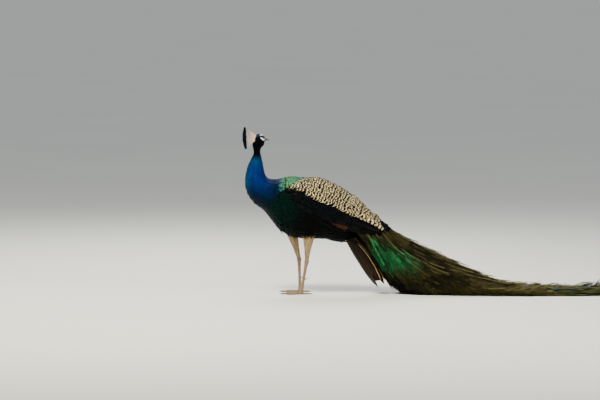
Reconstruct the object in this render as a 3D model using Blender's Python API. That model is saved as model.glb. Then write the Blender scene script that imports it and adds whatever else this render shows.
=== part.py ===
"""A life-size male Indian peafowl, standing, looking back over its right side, train laid on the floor.

Metres, +Z up. The bird faces -X, its left side is towards -Y, and the floor is z = 0.
Lengths below are measured from the floor point between the feet; ROOT moves them to the part's own
origin, the middle of the bounding box at floor level.
"""

import math

import bmesh
import bpy
import numpy as np
from mathutils import Matrix, Vector

# ---------------------------------------------------------------- driving dimensions
ROOT = Vector((-0.670, 0.0, 0.0))  # the point between the feet, in the part's frame
GAP = 0.0004  # clearance between touching pieces
FLOOR = 0.0

# Outer form of trunk and train: x, top z, z of the widest line, bottom z, half width.
TRUNK = (
    (-0.100, 0.501, 0.400, 0.281, 0.110),
    (-0.040, 0.510, 0.388, 0.247, 0.121),
    (0.030, 0.502, 0.375, 0.238, 0.122),
    (0.100, 0.490, 0.360, 0.237, 0.112),
    (0.165, 0.460, 0.342, 0.223, 0.093),
    (0.215, 0.427, 0.325, 0.238, 0.079),
)
TRAIN = (
    (0.215, 0.427, 0.345, 0.288, 0.079),
    (0.270, 0.383, 0.270, 0.214, 0.072),
    (0.330, 0.328, 0.190, 0.116, 0.077),
    (0.400, 0.274, 0.110, 0.030, 0.092),
    (0.500, 0.220, 0.055, -0.010, 0.112),
    (0.620, 0.160, 0.032, -0.010, 0.126),
    (0.750, 0.098, 0.022, -0.010, 0.136),
    (0.880, 0.046, 0.015, -0.010, 0.142),
    (1.050, 0.028, 0.010, -0.008, 0.150),
    (1.250, 0.023, 0.009, -0.008, 0.152),
    (1.430, 0.018, 0.008, -0.008, 0.136),
    (1.550, 0.012, 0.006, -0.006, 0.090),
)
TRAIN_CUTS = (0.2158, 0.470, 0.800, 1.180, 1.550)  # x where the train is divided
TRAIN_NAMES = ("train_root", "train_middle", "train_lower", "train_tip")
TIP_LOBES = 9  # long feather ends that scallop the train's tip

# Neck: back (nape) point x, z; front (throat) point x, z; half width. The first row is the trunk's front.
NECK = (
    (-0.100, 0.501, -0.100, 0.281, 0.110),
    (-0.131, 0.501, -0.160, 0.357, 0.095),
    (-0.147, 0.509, -0.214, 0.404, 0.074),
    (-0.156, 0.525, -0.241, 0.455, 0.058),
    (-0.161, 0.546, -0.2435, 0.505, 0.047),
    (-0.165, 0.566, -0.234, 0.551, 0.037),
    (-0.170, 0.590, -0.219, 0.585, 0.026),
    (-0.175, 0.613, -0.2075, 0.612, 0.0170),
    (-0.1735, 0.633, -0.2100, 0.638, 0.0190),
    (-0.1575, 0.6530, -0.2120, 0.656, 0.0205),
    (-0.166, 0.664, -0.200, 0.667, 0.0140),
)
NECK_CUTS = (0.0, 2.0, 4.6, 7.0, 10.0)  # in rows of NECK
NECK_NAMES = ("breast", "neck_lower", "neck_middle", "neck_upper")

# Head: a frame of its own, turned back past the right shoulder.
HEAD_AT = Vector((-0.1805, 0.0, 0.671))
HEAD_YAW = 50.0  # degrees from +X, away from the left side
HEAD_PITCH = -2.0  # the bill points a little down
HEAD_ROLL = 12.0  # the crown leans to its own left
# along the head, rise over and drop under the axis, half width (millimetres)
HEAD = (
    (-30.5, 3.0, 4.0, 4.0),
    (-28.0, 10.5, 13.0, 11.0),
    (-21.0, 19.0, 21.0, 16.8),
    (-8.0, 24.0, 24.5, 20.2),
    (5.0, 23.5, 23.0, 20.2),
    (15.0, 20.0, 19.0, 17.6),
    (23.0, 14.0, 13.5, 12.4),
    (28.0, 8.4, 9.2, 7.8),
)
MM = 0.001
BILL_FROM, BILL_TO = 28.4, 66.0  # along the head, millimetres
EYE_RADIUS = 5.4
EYE_AT = (9.5, 14.6, 8.5)  # along, sideways, up (millimetres)

CREST_FEATHERS = 18
CREST_AT = (-28.7, -1.9, 8.7)  # its root on the back of the crown (millimetres, head frame)
CREST_AZIMUTH = 204.0  # the fan is blown a little to the bird's right of its midline
CREST_ELEVATION = -3.0
CREST_LEAN = 1.0  # the fan's chord leans back at the top
CREST_LENGTH, CREST_HALF_SPREAD = 0.061, 0.049
CREST_HALF_ROOT = 0.0078  # the shafts stand this far apart at the root
CREST_ARC = 0.010  # the outermost tips stand this much less far out

# Wing over the body: x, z of its upper edge (None is the ridge), z of its lower edge, thickness.
WING = (
    (-0.080, 0.462, 0.432, 0.004),
    (-0.050, 0.484, 0.402, 0.009),
    (0.000, 0.500, 0.372, 0.012),
    (0.060, None, 0.345, 0.013),
    (0.120, None, 0.315, 0.013),
    (0.180, None, 0.290, 0.012),
    (0.240, None, 0.276, 0.010),
    (0.300, None, 0.262, 0.008),
    (0.350, None, 0.262, 0.006),
    (0.378, 0.288, 0.272, 0.003),
)
WING_LIFT = 0.0016  # the wing's inner face stands this far off the body
RIDGE_Y = 0.004
PRIMARIES_X = (0.030, 0.225)

# Tail, from its root to its tip: middle x, z; half depth; half width.
TAIL = (
    (0.190, 0.272, 0.020, 0.034),
    (0.222, 0.230, 0.026, 0.044),
    (0.262, 0.172, 0.031, 0.052),
    (0.302, 0.114, 0.033, 0.058),
    (0.332, 0.068, 0.031, 0.062),
    (0.352, 0.036, 0.024, 0.063),
)

# Legs: the shank's ankle x, z; the foot's x; the tibia's top x. The left foot stands a little forward.
LEGS = {
    "left": {"y": -0.050, "ankle": (0.024, 0.142), "foot": 0.000, "top": (0.034, 0.262)},
    "right": {"y": 0.050, "ankle": (-0.008, 0.144), "foot": -0.004, "top": (-0.042, 0.272)},
}
SHANK_FOOT_Z = 0.020  # where the shank ends on the foot
SPUR_LENGTH, SPUR_RADIUS, SPUR_Z = 0.020, 0.0042, 0.062
# Toes: angle from straight ahead (degrees, + outwards), length, root radius.
TOES = ((2.0, 0.078, 0.0062), (34.0, 0.060, 0.0056), (-32.0, 0.056, 0.0056), (172.0, 0.036, 0.0046))
CLAW_LENGTH = 0.014

COLOURS = {
    "blue": (0.010, 0.060, 0.230),
    "ink": (0.012, 0.014, 0.020),
    "green": (0.030, 0.150, 0.070),
    "barred": (0.420, 0.360, 0.250),
    "chestnut": (0.220, 0.075, 0.030),
    "brown": (0.085, 0.055, 0.035),
    "bronze": (0.075, 0.085, 0.030),
    "buff": (0.420, 0.330, 0.230),
    "leg": (0.300, 0.215, 0.170),
    "horn": (0.210, 0.190, 0.160),
    "eye": (0.020, 0.012, 0.008),
}

# ---------------------------------------------------------------- tools


def clear_scene():
    for obj in list(bpy.data.objects):
        bpy.data.objects.remove(obj)


def material(name, roughness=0.5, metallic=0.0):
    found = bpy.data.materials.get(name)
    if found:
        return found
    made = bpy.data.materials.new(name)
    made.use_nodes = True
    shader = made.node_tree.nodes["Principled BSDF"]
    shader.inputs["Base Color"].default_value = (*COLOURS[name], 1.0)
    shader.inputs["Roughness"].default_value = roughness
    shader.inputs["Metallic"].default_value = metallic
    return made


def smooth_rows(table, at):
    """Rows of a table at fractional row numbers, on a Catmull-Rom curve through all rows."""
    rows = np.array(table, float)
    found = []
    for t in at:
        i = int(min(max(math.floor(t), 0), len(rows) - 2))
        u = t - i
        before, here = rows[max(i - 1, 0)], rows[i]
        after, beyond = rows[i + 1], rows[min(i + 2, len(rows) - 1)]
        lead, trail = (after - before) / 2, (beyond - here) / 2
        found.append(
            (2 * u**3 - 3 * u**2 + 1) * here
            + (u**3 - 2 * u**2 + u) * lead
            + (3 * u**2 - 2 * u**3) * after
            + (u**3 - u**2) * trail
        )
    return np.array(found)


def row_at_x(table, x):
    """A table's row at an x between its rows, on the same smooth curve."""
    xs = [row[0] for row in table]
    i = min(max(int(np.searchsorted(xs, x)) - 1, 0), len(xs) - 2)
    low, high = float(i), float(i + 1)
    for _ in range(30):
        middle = (low + high) / 2
        if smooth_rows(table, [middle])[0][0] < x:
            low = middle
        else:
            high = middle
    return smooth_rows(table, [(low + high) / 2])[0]


def ring(middle, side, up, half_width, rise, drop, count, turn=0.0):
    """Points of a closed section, first at the top, then round by the +side; turn is in steps."""
    points = []
    for k in range(count):
        angle = 2 * math.pi * (k + turn) / count
        height = (rise if math.cos(angle) > 0 else drop) * math.cos(angle)
        points.append(middle + side * (half_width * math.sin(angle)) + up * height)
    return points


def new_object(name, mesh, colour, collection):
    obj = bpy.data.objects.new(name, mesh)
    collection.objects.link(obj)
    mesh.materials.append(material(colour))
    mesh.shade_smooth()
    mesh.set_sharp_from_angle(angle=math.radians(40))
    return obj


def loft(name, rings, colour, collection, floor=None, shift=True):
    """A closed solid through rings with the same number of points; its ends are fans."""
    form = bmesh.new()
    rows = []
    for points in rings:
        row = []
        for point in points:
            place = Vector(point)
            if floor is not None:
                place.z = max(place.z, floor)
            row.append(form.verts.new(place + (ROOT if shift else Vector())))
        rows.append(row)
    count = len(rows[0])
    for low, high in zip(rows, rows[1:]):
        for k in range(count):
            n = (k + 1) % count
            form.faces.new((low[k], low[n], high[n], high[k]))
    for row in (rows[0], rows[-1]):
        heart = form.verts.new(sum((v.co for v in row), Vector()) / count)
        for k in range(count):
            form.faces.new((row[k], row[(k + 1) % count], heart))
    bmesh.ops.remove_doubles(form, verts=form.verts, dist=1e-6)
    bmesh.ops.dissolve_degenerate(form, edges=form.edges, dist=1e-6)
    bmesh.ops.triangulate(form, faces=form.faces)
    bmesh.ops.recalc_face_normals(form, faces=form.faces)
    mesh = bpy.data.meshes.new(name)
    form.to_mesh(mesh)
    form.free()
    return new_object(name, mesh, colour, collection)


def grown(source, by=GAP):
    """A hidden copy of a solid, grown all round, to cut a neighbour with."""
    cutter = bpy.data.objects.new(source.name + "_cutter", source.data.copy())
    TOOLS.objects.link(cutter)
    cutter.hide_render = True
    cutter.display_type = "WIRE"
    spread = cutter.modifiers.new("grow", "DISPLACE")
    spread.mid_level = 0.0
    spread.strength = by
    return cutter


def cut(piece, cutter):
    """Cuts the piece with a cutter and keeps its largest body."""
    knife = piece.modifiers.new("cut", "BOOLEAN")
    knife.operation = "DIFFERENCE"
    knife.object = cutter
    bake(piece)


def join(piece, other):
    """Boolean union of two solids; the other object is removed."""
    glue = piece.modifiers.new("join", "BOOLEAN")
    glue.operation = "UNION"
    glue.object = other
    bake(piece)
    bpy.data.objects.remove(other)


def bake(piece):
    graph = bpy.context.evaluated_depsgraph_get()
    mesh = bpy.data.meshes.new_from_object(piece.evaluated_get(graph))
    piece.modifiers.clear()
    piece.data = mesh
    keep_largest(piece)


def keep_largest(piece):
    """Drops small islands that a cut leaves, and welds its slivers."""
    form = bmesh.new()
    form.from_mesh(piece.data)
    bmesh.ops.remove_doubles(form, verts=form.verts, dist=2e-5)
    bmesh.ops.dissolve_degenerate(form, edges=form.edges, dist=2e-5)
    islands, todo = [], set(form.verts)
    while todo:
        island, edge = set(), [todo.pop()]
        while edge:
            vert = edge.pop()
            island.add(vert)
            for link in vert.link_edges:
                other = link.other_vert(vert)
                if other in todo:
                    todo.remove(other)
                    edge.append(other)
        islands.append(island)
    islands.sort(key=len)
    lost = [v for island in islands[:-1] for v in island]
    bmesh.ops.delete(form, geom=lost, context="VERTS")
    bmesh.ops.triangulate(form, faces=form.faces)
    form.to_mesh(piece.data)
    form.free()


# ---------------------------------------------------------------- body

SIDE, UP = Vector((0, 1, 0)), Vector((0, 0, 1))


def body_ring(row, count):
    x, top, widest, bottom, half_width = row
    return ring(Vector((x, 0, widest)), SIDE, UP, half_width, top - widest, widest - bottom, count)


def neck_ring(row, count):
    back, front = Vector((row[0], 0, row[1])), Vector((row[2], 0, row[3]))
    up = (back - front) / 2
    return ring((back + front) / 2, SIDE, up.normalized(), row[4], up.length, up.length, count)


def make_trunk():
    rows = smooth_rows(TRUNK, np.linspace(0, len(TRUNK) - 1, 11))
    return loft("trunk", [body_ring(row, 26) for row in rows], "green", PARTS)


def make_neck():
    """Breast and neck, parted by thin cuts."""
    pieces = []
    step = GAP / 0.05  # a cut's width, in rows of the table
    for i, name in enumerate(NECK_NAMES):
        start, end = NECK_CUTS[i] + step, NECK_CUTS[i + 1]
        rows = smooth_rows(NECK, np.linspace(start, end, 7))
        pieces.append(loft(name, [neck_ring(row, 20) for row in rows], "blue", PARTS))
    return pieces


def tip_rings(x0, x1):
    """The train's end, whose edge is scalloped by the ends of its longest feathers."""
    rings = []
    for share in (0.0, 0.25, 0.5, 0.72, 0.88, 1.0):
        row = row_at_x(TRAIN, x0 + share * (x1 - x0))
        points = body_ring(row, 36)
        reach = share**2 * 0.045
        for point in points:
            across = point.y / row[4]
            point.x += reach * abs(math.cos(across * TIP_LOBES * math.pi / 2)) - reach * across**2
        rings.append(points)
    return rings


def make_train():
    pieces = []
    for i, name in enumerate(TRAIN_NAMES):
        x0, x1 = TRAIN_CUTS[i] + GAP / 2, TRAIN_CUTS[i + 1] - GAP / 2
        if name == "train_tip":
            rings = tip_rings(x0, x1)
        else:
            rings = [body_ring(row_at_x(TRAIN, x), 26) for x in np.linspace(x0, x1, 6)]
        pieces.append(loft(name, rings, "bronze", PARTS, floor=FLOOR))
    return pieces


def make_tail(body):
    """The folded tail feathers under the train, from the vent to the floor, with a scalloped end."""
    rows = smooth_rows(TAIL, np.linspace(0, len(TAIL) - 1, 9))
    rings = []
    for i, (x, z, depth, width) in enumerate(rows):
        ahead = rows[min(i + 1, len(rows) - 1)] - rows[max(i - 1, 0)]
        along = Vector((ahead[0], 0, ahead[1])).normalized()
        across = along.cross(SIDE)
        points = ring(Vector((x, 0, z)), SIDE, across, width, depth, depth, 20)
        if i == len(rows) - 1:
            for point in points:
                point += along * 0.012 * abs(math.cos(point.y / width * 3 * math.pi))
        rings.append(points)
    tail = loft("tail", rings, "brown", PARTS, floor=FLOOR)
    for piece in body:
        cut(tail, grown(piece))


# ---------------------------------------------------------------- wings


def over_body(x, angle, lift, mirror):
    """A point on the body's outer form at x, at an angle from the ridge, lifted off it."""
    table = TRUNK if x <= TRUNK[-1][0] else TRAIN
    _, top, widest, _, half_width = row_at_x(table, x)
    widest = min(widest, 0.345)
    drop = 0.13
    rise = top - widest
    height = (rise if math.cos(angle) > 0 else drop) * math.cos(angle)
    place = Vector((x, half_width * math.sin(angle), widest + height))
    normal = Vector((0.12, math.sin(angle) / half_width, math.cos(angle) / (rise if height > 0 else drop)))
    normal.normalize()
    place += normal * lift
    return Vector((place.x, mirror * place.y, place.z))


def angle_at(x, z):
    """The angle from the ridge at which the body's outer form has height z."""
    table = TRUNK if x <= TRUNK[-1][0] else TRAIN
    _, top, widest, _, half_width = row_at_x(table, x)
    widest = min(widest, 0.345)
    if z is None:
        return math.asin(RIDGE_Y / half_width)
    share = (z - widest) / ((top - widest) if z > widest else 0.13)
    return math.acos(max(-1.0, min(1.0, share)))


def strip(x, upper, lower, thickness, mirror, columns, edge=0.25):
    """One closed section of a wing: up the inner face and back down the outer one."""
    angles = np.linspace(angle_at(x, upper), angle_at(x, lower), columns)
    inner, outer = [], []
    for k, angle in enumerate(angles):
        share = k / (columns - 1)
        crown = edge + (1 - edge) * math.sin(math.pi * share) ** 0.6
        inner.append(over_body(x, angle, WING_LIFT, mirror))
        outer.append(over_body(x, angle, WING_LIFT + thickness * crown, mirror))
    return inner + outer[::-1]


def wing_rows(count):
    ridge = [(x, up if up is not None else -1.0, low, t) for x, up, low, t in WING]
    for x in np.linspace(WING[0][0], WING[-1][0], count):
        i = int(min(max(np.searchsorted([r[0] for r in ridge], x) - 1, 0), len(ridge) - 2))
        a, b = ridge[i], ridge[i + 1]
        u = (x - a[0]) / (b[0] - a[0])
        low, thick = (a[k] + u * (b[k] - a[k]) for k in (2, 3))
        if a[1] < 0 and b[1] < 0:
            upper = None
        else:
            top = row_at_x(TRUNK if x <= TRUNK[-1][0] else TRAIN, x)[1]
            first = a[1] if a[1] > 0 else top
            last = b[1] if b[1] > 0 else top
            upper = min(first + u * (last - first), top - 0.002)
        yield x, upper, low, thick


def make_wing(name, mirror, body):
    rings = [strip(x, up, low, t, mirror, 7) for x, up, low, t in wing_rows(13)]
    wing = loft(name, rings, "barred", PARTS)
    for piece in body:
        cut(wing, grown(piece))
    return wing


def make_primaries(name, mirror, body):
    """The chestnut ends of the folded primaries, showing under the wing's lower edge."""
    rings = []
    low_edge = [(row[0], row[2]) for row in WING]
    for x in np.linspace(*PRIMARIES_X, 9):
        share = (x - PRIMARIES_X[0]) / (PRIMARIES_X[1] - PRIMARIES_X[0])
        upper = float(np.interp(x, [r[0] for r in low_edge], [r[1] for r in low_edge])) - 0.004
        depth = 0.003 + 0.013 * math.sin(math.pi * min(share * 1.15, 1.0)) ** 0.8
        rings.append(strip(x, upper, upper - depth, 0.004, mirror, 4, edge=0.4))
    primaries = loft(name, rings, "chestnut", PARTS)
    for piece in body:
        cut(primaries, grown(piece))


# ---------------------------------------------------------------- head


def head_frame():
    turn = (
        Matrix.Rotation(math.radians(HEAD_YAW), 3, "Z")
        @ Matrix.Rotation(math.radians(-HEAD_PITCH), 3, "Y")
        @ Matrix.Rotation(math.radians(-HEAD_ROLL), 3, "X")
    )
    return turn


HEAD_TURN = head_frame()


def on_head(along, sideways, up):
    """A point given in millimetres along, to the left of and over the head's axis."""
    return HEAD_AT + HEAD_TURN @ (Vector((along, sideways, up)) * MM)


def head_ring(along, half_width, rise, drop, count, lift=0.0):
    side = HEAD_TURN @ SIDE
    up = HEAD_TURN @ UP
    return ring(on_head(along, 0, lift), side, up, half_width * MM, rise * MM, drop * MM, count)


def make_head():
    rows = smooth_rows(HEAD, np.linspace(0, len(HEAD) - 1, 10))
    return loft("head", [head_ring(a, w, r, d, 18) for a, r, d, w in rows], "blue", PARTS)


def make_bill():
    """Upper and lower mandible, with a thin gape between them; the upper one hooks over."""
    upper, lower = [], []
    for share in (0.0, 0.2, 0.4, 0.6, 0.78, 0.9, 1.0):
        along = BILL_FROM + share * (BILL_TO - BILL_FROM)
        gape = -1.5 - 2.0 * share**2
        width = 6.2 * (1 - share) ** 0.62 + 0.7
        rise = 7.6 * (1 - share**1.7) + 0.9
        upper.append(head_ring(along, width, rise, 0.6, 12, lift=gape + 0.8))
        if share <= 0.9:
            lower.append(head_ring(along, width * 0.9, 0.6, 4.8 * (1 - share**1.5) + 0.6, 12, lift=gape - 0.8))
    upper[-1] = [p - (HEAD_TURN @ UP) * 0.0022 for p in upper[-1]]
    loft("bill_upper", upper, "horn", PARTS)
    loft("bill_lower", lower, "horn", PARTS)


def make_eyes(head):
    eyes = []
    for name, sign in (("eye_left", 1), ("eye_right", -1)):
        along, out, up = EYE_AT
        bpy.ops.mesh.primitive_uv_sphere_add(segments=12, ring_count=8, radius=EYE_RADIUS * MM)
        eye = bpy.context.active_object
        eye.name = eye.data.name = name
        eye.data.transform(Matrix.Translation(on_head(along, sign * out, up) + ROOT))
        eye.data.materials.append(material("eye", roughness=0.1))
        eye.data.shade_smooth()
        for owner in list(eye.users_collection):
            owner.objects.unlink(eye)
        PARTS.objects.link(eye)
        cut(head, grown(eye))
        eyes.append(eye)
    return eyes


def crest_axes():
    azimuth, lean = math.radians(CREST_AZIMUTH), math.radians(CREST_LEAN)
    rise = math.radians(CREST_ELEVATION)
    axis = Vector((math.cos(azimuth) * math.cos(rise), math.sin(azimuth) * math.cos(rise), math.sin(rise)))
    chord = Vector((-math.sin(lean), 0, math.cos(lean)))
    chord = (chord - axis * chord.dot(axis)).normalized()
    return axis, chord, axis.cross(chord)


def crest_feather(place, normal, root, tip):
    """A bare shaft that ends in a small paddle."""
    rings = []
    along = tip - root
    across = normal.cross(along).normalized()
    for share, half_width, half_thick in (
        (0.0, 0.3, 0.3),
        (0.76, 0.4, 0.3),
        (0.84, 1.9, 0.4),
        (0.94, 2.3, 0.4),
        (1.0, 1.0, 0.3),
    ):
        centre = root + along * share
        w, t = across * half_width * MM, normal * half_thick * MM
        rings.append([centre + w + t, centre - w + t, centre - w - t, centre + w - t])
    return loft(f"crest_feather_{place}", rings, "ink", PARTS)


def make_crest(head):
    """A fan of bare shafts with paddle tips on a low mound of the crown."""
    axis, chord, normal = crest_axes()
    root = on_head(*CREST_AT)
    mound = [
        ring(root + axis * (step * MM), normal, chord, wide * MM, tall * MM, tall * MM, 8)
        for step, wide, tall in ((-5.0, 2.0, 8.0), (0.0, 2.8, 10.0), (4.0, 2.0, 9.4), (5.5, 0.8, 8.6))
    ]
    crest = loft("crest", mound, "ink", PARTS)
    fan = bmesh.new()
    for k in range(CREST_FEATHERS):
        share = 2 * k / (CREST_FEATHERS - 1) - 1
        start = root + axis * (3.0 * MM) + chord * (share * CREST_HALF_ROOT)
        tip = root + axis * (CREST_LENGTH - CREST_ARC * share**2) + chord * (share * CREST_HALF_SPREAD)
        feather = crest_feather(k, normal, start, tip)
        fan.from_mesh(feather.data)
        bpy.data.objects.remove(feather)
    mesh = bpy.data.meshes.new("crest_fan")
    fan.to_mesh(mesh)
    fan.free()
    join(crest, new_object("crest_fan", mesh, "ink", PARTS))
    cut(crest, grown(head))
    return crest


# ---------------------------------------------------------------- legs and feet


def limb(name, stops, colour, count=12, floor=None):
    """A tapering limb through (place, half across, half fore-and-aft) stops."""
    rings = []
    for i, (place, across, deep) in enumerate(stops):
        ahead = stops[min(i + 1, len(stops) - 1)][0] - stops[max(i - 1, 0)][0]
        fore = ahead.cross(SIDE).normalized()
        rings.append(ring(place, SIDE, fore, across, deep, deep, count))
    return loft(name, rings, colour, PARTS, floor=floor)


def make_tibia(side, leg, body):
    ankle = Vector((leg["ankle"][0], leg["y"], leg["ankle"][1]))
    top = Vector((leg["top"][0], leg["y"] * 1.15, leg["top"][1]))
    stops = []
    for share, across, deep in (
        (0.0, 0.024, 0.030),
        (0.25, 0.019, 0.023),
        (0.5, 0.0145, 0.017),
        (0.75, 0.0115, 0.0125),
        (0.93, 0.0090, 0.0100),
    ):
        stops.append((top.lerp(ankle, share), across, deep))
    tibia = limb(f"tibia_{side}", stops, "buff")
    for piece in body:
        cut(tibia, grown(piece))


def make_shank(side, leg):
    ankle = Vector((leg["ankle"][0], leg["y"], leg["ankle"][1]))
    foot = Vector((leg["foot"], leg["y"], 0.0))
    top = ankle + (Vector((leg["top"][0], leg["y"] * 1.15, leg["top"][1])) - ankle) * 0.065
    axis = foot - ankle
    stops = [(top, 0.0078, 0.0095)]
    for share, across, deep in (
        (0.0, 0.0080, 0.0102),
        (0.07, 0.0066, 0.0086),
        (0.2, 0.0052, 0.0068),
        (0.5, 0.0048, 0.0062),
        (0.75, 0.0052, 0.0064),
    ):
        stops.append((ankle + axis * share, across, deep))
    stops.append((ankle + axis * (1 - SHANK_FOOT_Z / leg["ankle"][1]), 0.0062, 0.0072))
    shank = limb(f"shank_{side}", stops, "leg")
    return shank


def make_spur(side, leg, shank):
    """The cock's spur, on the back inner side of the shank."""
    share = 1 - SPUR_Z / leg["ankle"][1]
    ankle = Vector((leg["ankle"][0], leg["y"], leg["ankle"][1]))
    root = ankle.lerp(Vector((leg["foot"], leg["y"], 0.0)), share)
    inwards = -math.copysign(1, leg["y"])
    aim = Vector((0.86, 0.42 * inwards, 0.28)).normalized()
    rings = []
    for t in (0.0, 0.35, 0.7, 1.0):
        radius = SPUR_RADIUS * (1 - 0.86 * t)
        centre = root + aim * (SPUR_LENGTH + 0.006) * t + UP * 0.004 * t * t
        across = aim.cross(UP).normalized()
        rings.append(ring(centre, across, across.cross(aim), radius, radius, radius, 8))
    spur = loft(f"spur_{side}", rings, "horn", PARTS)
    cut(spur, grown(shank))


def toe_rings(root, heading, length, radius):
    """A toe that lies on the floor, arched a little, and ends in its claw."""
    across = Vector((-heading.y, heading.x, 0))
    rings = []
    for share in (0.0, 0.2, 0.45, 0.7, 0.86, 1.0):
        swell = radius * (1.0 - 0.36 * share) * (1 + 0.10 * math.cos(share * 18))
        middle = root + heading * (length * share)
        middle.z = swell * 0.82
        rings.append(ring(middle, across, UP, swell, swell, swell, 8, turn=0.5))
    for share, shrink in ((0.3, 0.44), (1.0, 0.12)):
        middle = root + heading * (length + CLAW_LENGTH * share)
        middle.z = radius * (0.66 - 0.42 * share**2)
        rings.append(ring(middle, across, UP, *[radius * shrink] * 3, 8, turn=0.5))
    return rings


def make_foot(side, leg):
    """Metatarsal pad, three front toes and the hind toe, joined, with flat soles."""
    centre = Vector((leg["foot"], leg["y"], 0.0))
    outwards = math.copysign(1, leg["y"])
    ankle = Vector((leg["ankle"][0], leg["y"], leg["ankle"][1]))
    lean = (ankle - centre) / ankle.z
    stops = [
        (centre - lean * 0.003, 0.0078, 0.0092),
        (centre + lean * 0.006, 0.0088, 0.0104),
        (centre + lean * 0.012, 0.0080, 0.0092),
        (centre + lean * (SHANK_FOOT_Z - GAP), 0.0062, 0.0072),
    ]
    foot = limb(f"foot_{side}", stops, "leg", floor=FLOOR)
    for k, (degrees, length, radius) in enumerate(TOES):
        angle = math.radians(degrees) * outwards
        heading = Vector((-math.cos(angle), math.sin(angle), 0))
        toe = loft(f"toe_{k}", toe_rings(centre, heading, length, radius), "leg", PARTS, floor=FLOOR)
        join(foot, toe)
    return foot


# ---------------------------------------------------------------- assembly


def main():
    trunk = make_trunk()
    neck = make_neck()
    train = make_train()
    make_tail([trunk, train[0], train[1]])
    body = [trunk, neck[0], train[0], train[1]]
    for side, mirror in (("left", -1), ("right", 1)):
        wing = make_wing(f"wing_{side}", mirror, body)
        make_primaries(f"primaries_{side}", mirror, body[:1] + [wing])
    head = make_head()
    for piece in [head, *make_eyes(head)]:
        cut(neck[-1], grown(piece))
    make_bill()
    make_crest(head)
    for side, leg in LEGS.items():
        make_tibia(side, leg, [trunk, neck[0]])
        shank = make_shank(side, leg)
        make_spur(side, leg, shank)
        make_foot(side, leg)


clear_scene()
PARTS = bpy.data.collections.new("peacock")
TOOLS = bpy.data.collections.new("cutters")
bpy.context.scene.collection.children.link(PARTS)
bpy.context.scene.collection.children.link(TOOLS)
main()
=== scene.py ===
# %% [markdown]
# # A peacock, feather by feather
# This lesson dresses the solid model of a male Indian peafowl. The bird stands and looks back past its
# right shoulder, with its train laid on the floor. The solids give the size and the pose. Here they get
# skin, scales, horn, eyes and many thousand feathers, each of them real mesh.

# %% Load the solid bird
import math

import bmesh
import bpy
import numpy as np
from mathutils import Matrix, Vector
from mathutils.bvhtree import BVHTree
from mathutils.kdtree import KDTree


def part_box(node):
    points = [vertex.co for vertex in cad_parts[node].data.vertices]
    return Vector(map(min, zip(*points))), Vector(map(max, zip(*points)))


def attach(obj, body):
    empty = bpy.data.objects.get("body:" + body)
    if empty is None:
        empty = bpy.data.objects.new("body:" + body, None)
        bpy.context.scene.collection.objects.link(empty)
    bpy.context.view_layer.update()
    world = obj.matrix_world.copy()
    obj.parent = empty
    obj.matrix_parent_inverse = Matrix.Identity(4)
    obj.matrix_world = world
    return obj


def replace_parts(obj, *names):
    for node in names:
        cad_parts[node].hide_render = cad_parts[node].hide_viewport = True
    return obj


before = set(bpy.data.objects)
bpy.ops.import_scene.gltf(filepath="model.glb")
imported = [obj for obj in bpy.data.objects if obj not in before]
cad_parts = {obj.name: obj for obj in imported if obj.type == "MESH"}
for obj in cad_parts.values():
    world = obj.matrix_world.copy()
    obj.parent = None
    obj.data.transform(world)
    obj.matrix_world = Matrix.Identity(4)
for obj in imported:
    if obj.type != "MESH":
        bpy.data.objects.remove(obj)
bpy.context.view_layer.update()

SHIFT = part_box("trunk")[0][0] + 0.100  # x of the floor point between the feet

# %% [markdown]
# ## Working in the bird's own measures
# Every length below is in metres from the floor point between the feet, with the bird facing -x, so a
# number can be read straight off the bird. One small helper moves them to the model's place, another
# turns colours from the usual hex codes into linear light, and a third adds shader and geometry nodes.

# %% Places, colours and nodes
def at(x, y, z):
    return Vector((x + SHIFT, y, z))


def local(places):
    """x, y and z of world places, measured from the point between the feet."""
    return (places - np.array((SHIFT, 0, 0))).T


def linear(hexcode):
    """An sRGB hex colour as the linear values that Blender works in."""
    parts = [int(hexcode[i : i + 2], 16) / 255 for i in (1, 3, 5)]
    return (*[c / 12.92 if c <= 0.04045 else ((c + 0.055) / 1.055) ** 2.4 for c in parts], 1.0)


def add(tree, kind, links=None, **settings):
    """Adds one node: settings are its properties, and links maps a socket to a value, to another
    socket, or to another node, which then gives its first output."""
    node = tree.nodes.new(kind)
    for key, value in settings.items():
        setattr(node, key, value)
    for key, value in (links or {}).items():
        if isinstance(value, bpy.types.Node):
            value = value.outputs[0]
        if isinstance(value, bpy.types.NodeSocket):
            tree.links.new(value, node.inputs[key])
        else:
            node.inputs[key].default_value = value
    return node


def in_scene(name, data):
    """An object at the origin that shows a mesh, a camera or a lamp."""
    made = bpy.data.objects.new(name, data)
    bpy.context.scene.collection.objects.link(made)
    return made


def unit(vectors):
    return vectors / np.maximum(np.linalg.norm(vectors, axis=-1, keepdims=True), 1e-9)


def smooth_step(low, high, value):
    t = np.clip((np.asarray(value, float) - low) / (high - low), 0, 1)
    return t * t * (3 - 2 * t)


def mix_in(base, hexcode, share):
    """Lays a hex colour over rows of linear colour, by a share for each row."""
    share = np.clip(np.asarray(share, float), 0, 1)[..., None]
    return base * (1 - share) + np.array(linear(hexcode)) * share


def shaded(colours, factor):
    """The same colours, darker or lighter, with alpha kept."""
    factor = np.broadcast_to(np.asarray(factor, float), len(colours))[:, None]
    return np.concatenate((np.clip(colours[:, :3] * factor, 0, 1), colours[:, 3:]), 1)


def all_of(hexcode, count):
    return np.tile(np.array(linear(hexcode)), (count, 1))


# %% [markdown]
# ## Camera, floor and light
# A long lens from far off keeps the bird nearly without perspective, as a wildlife lens does. The light
# is a big soft key from the upper left, a fill and a rim, over a pale floor.

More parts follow.
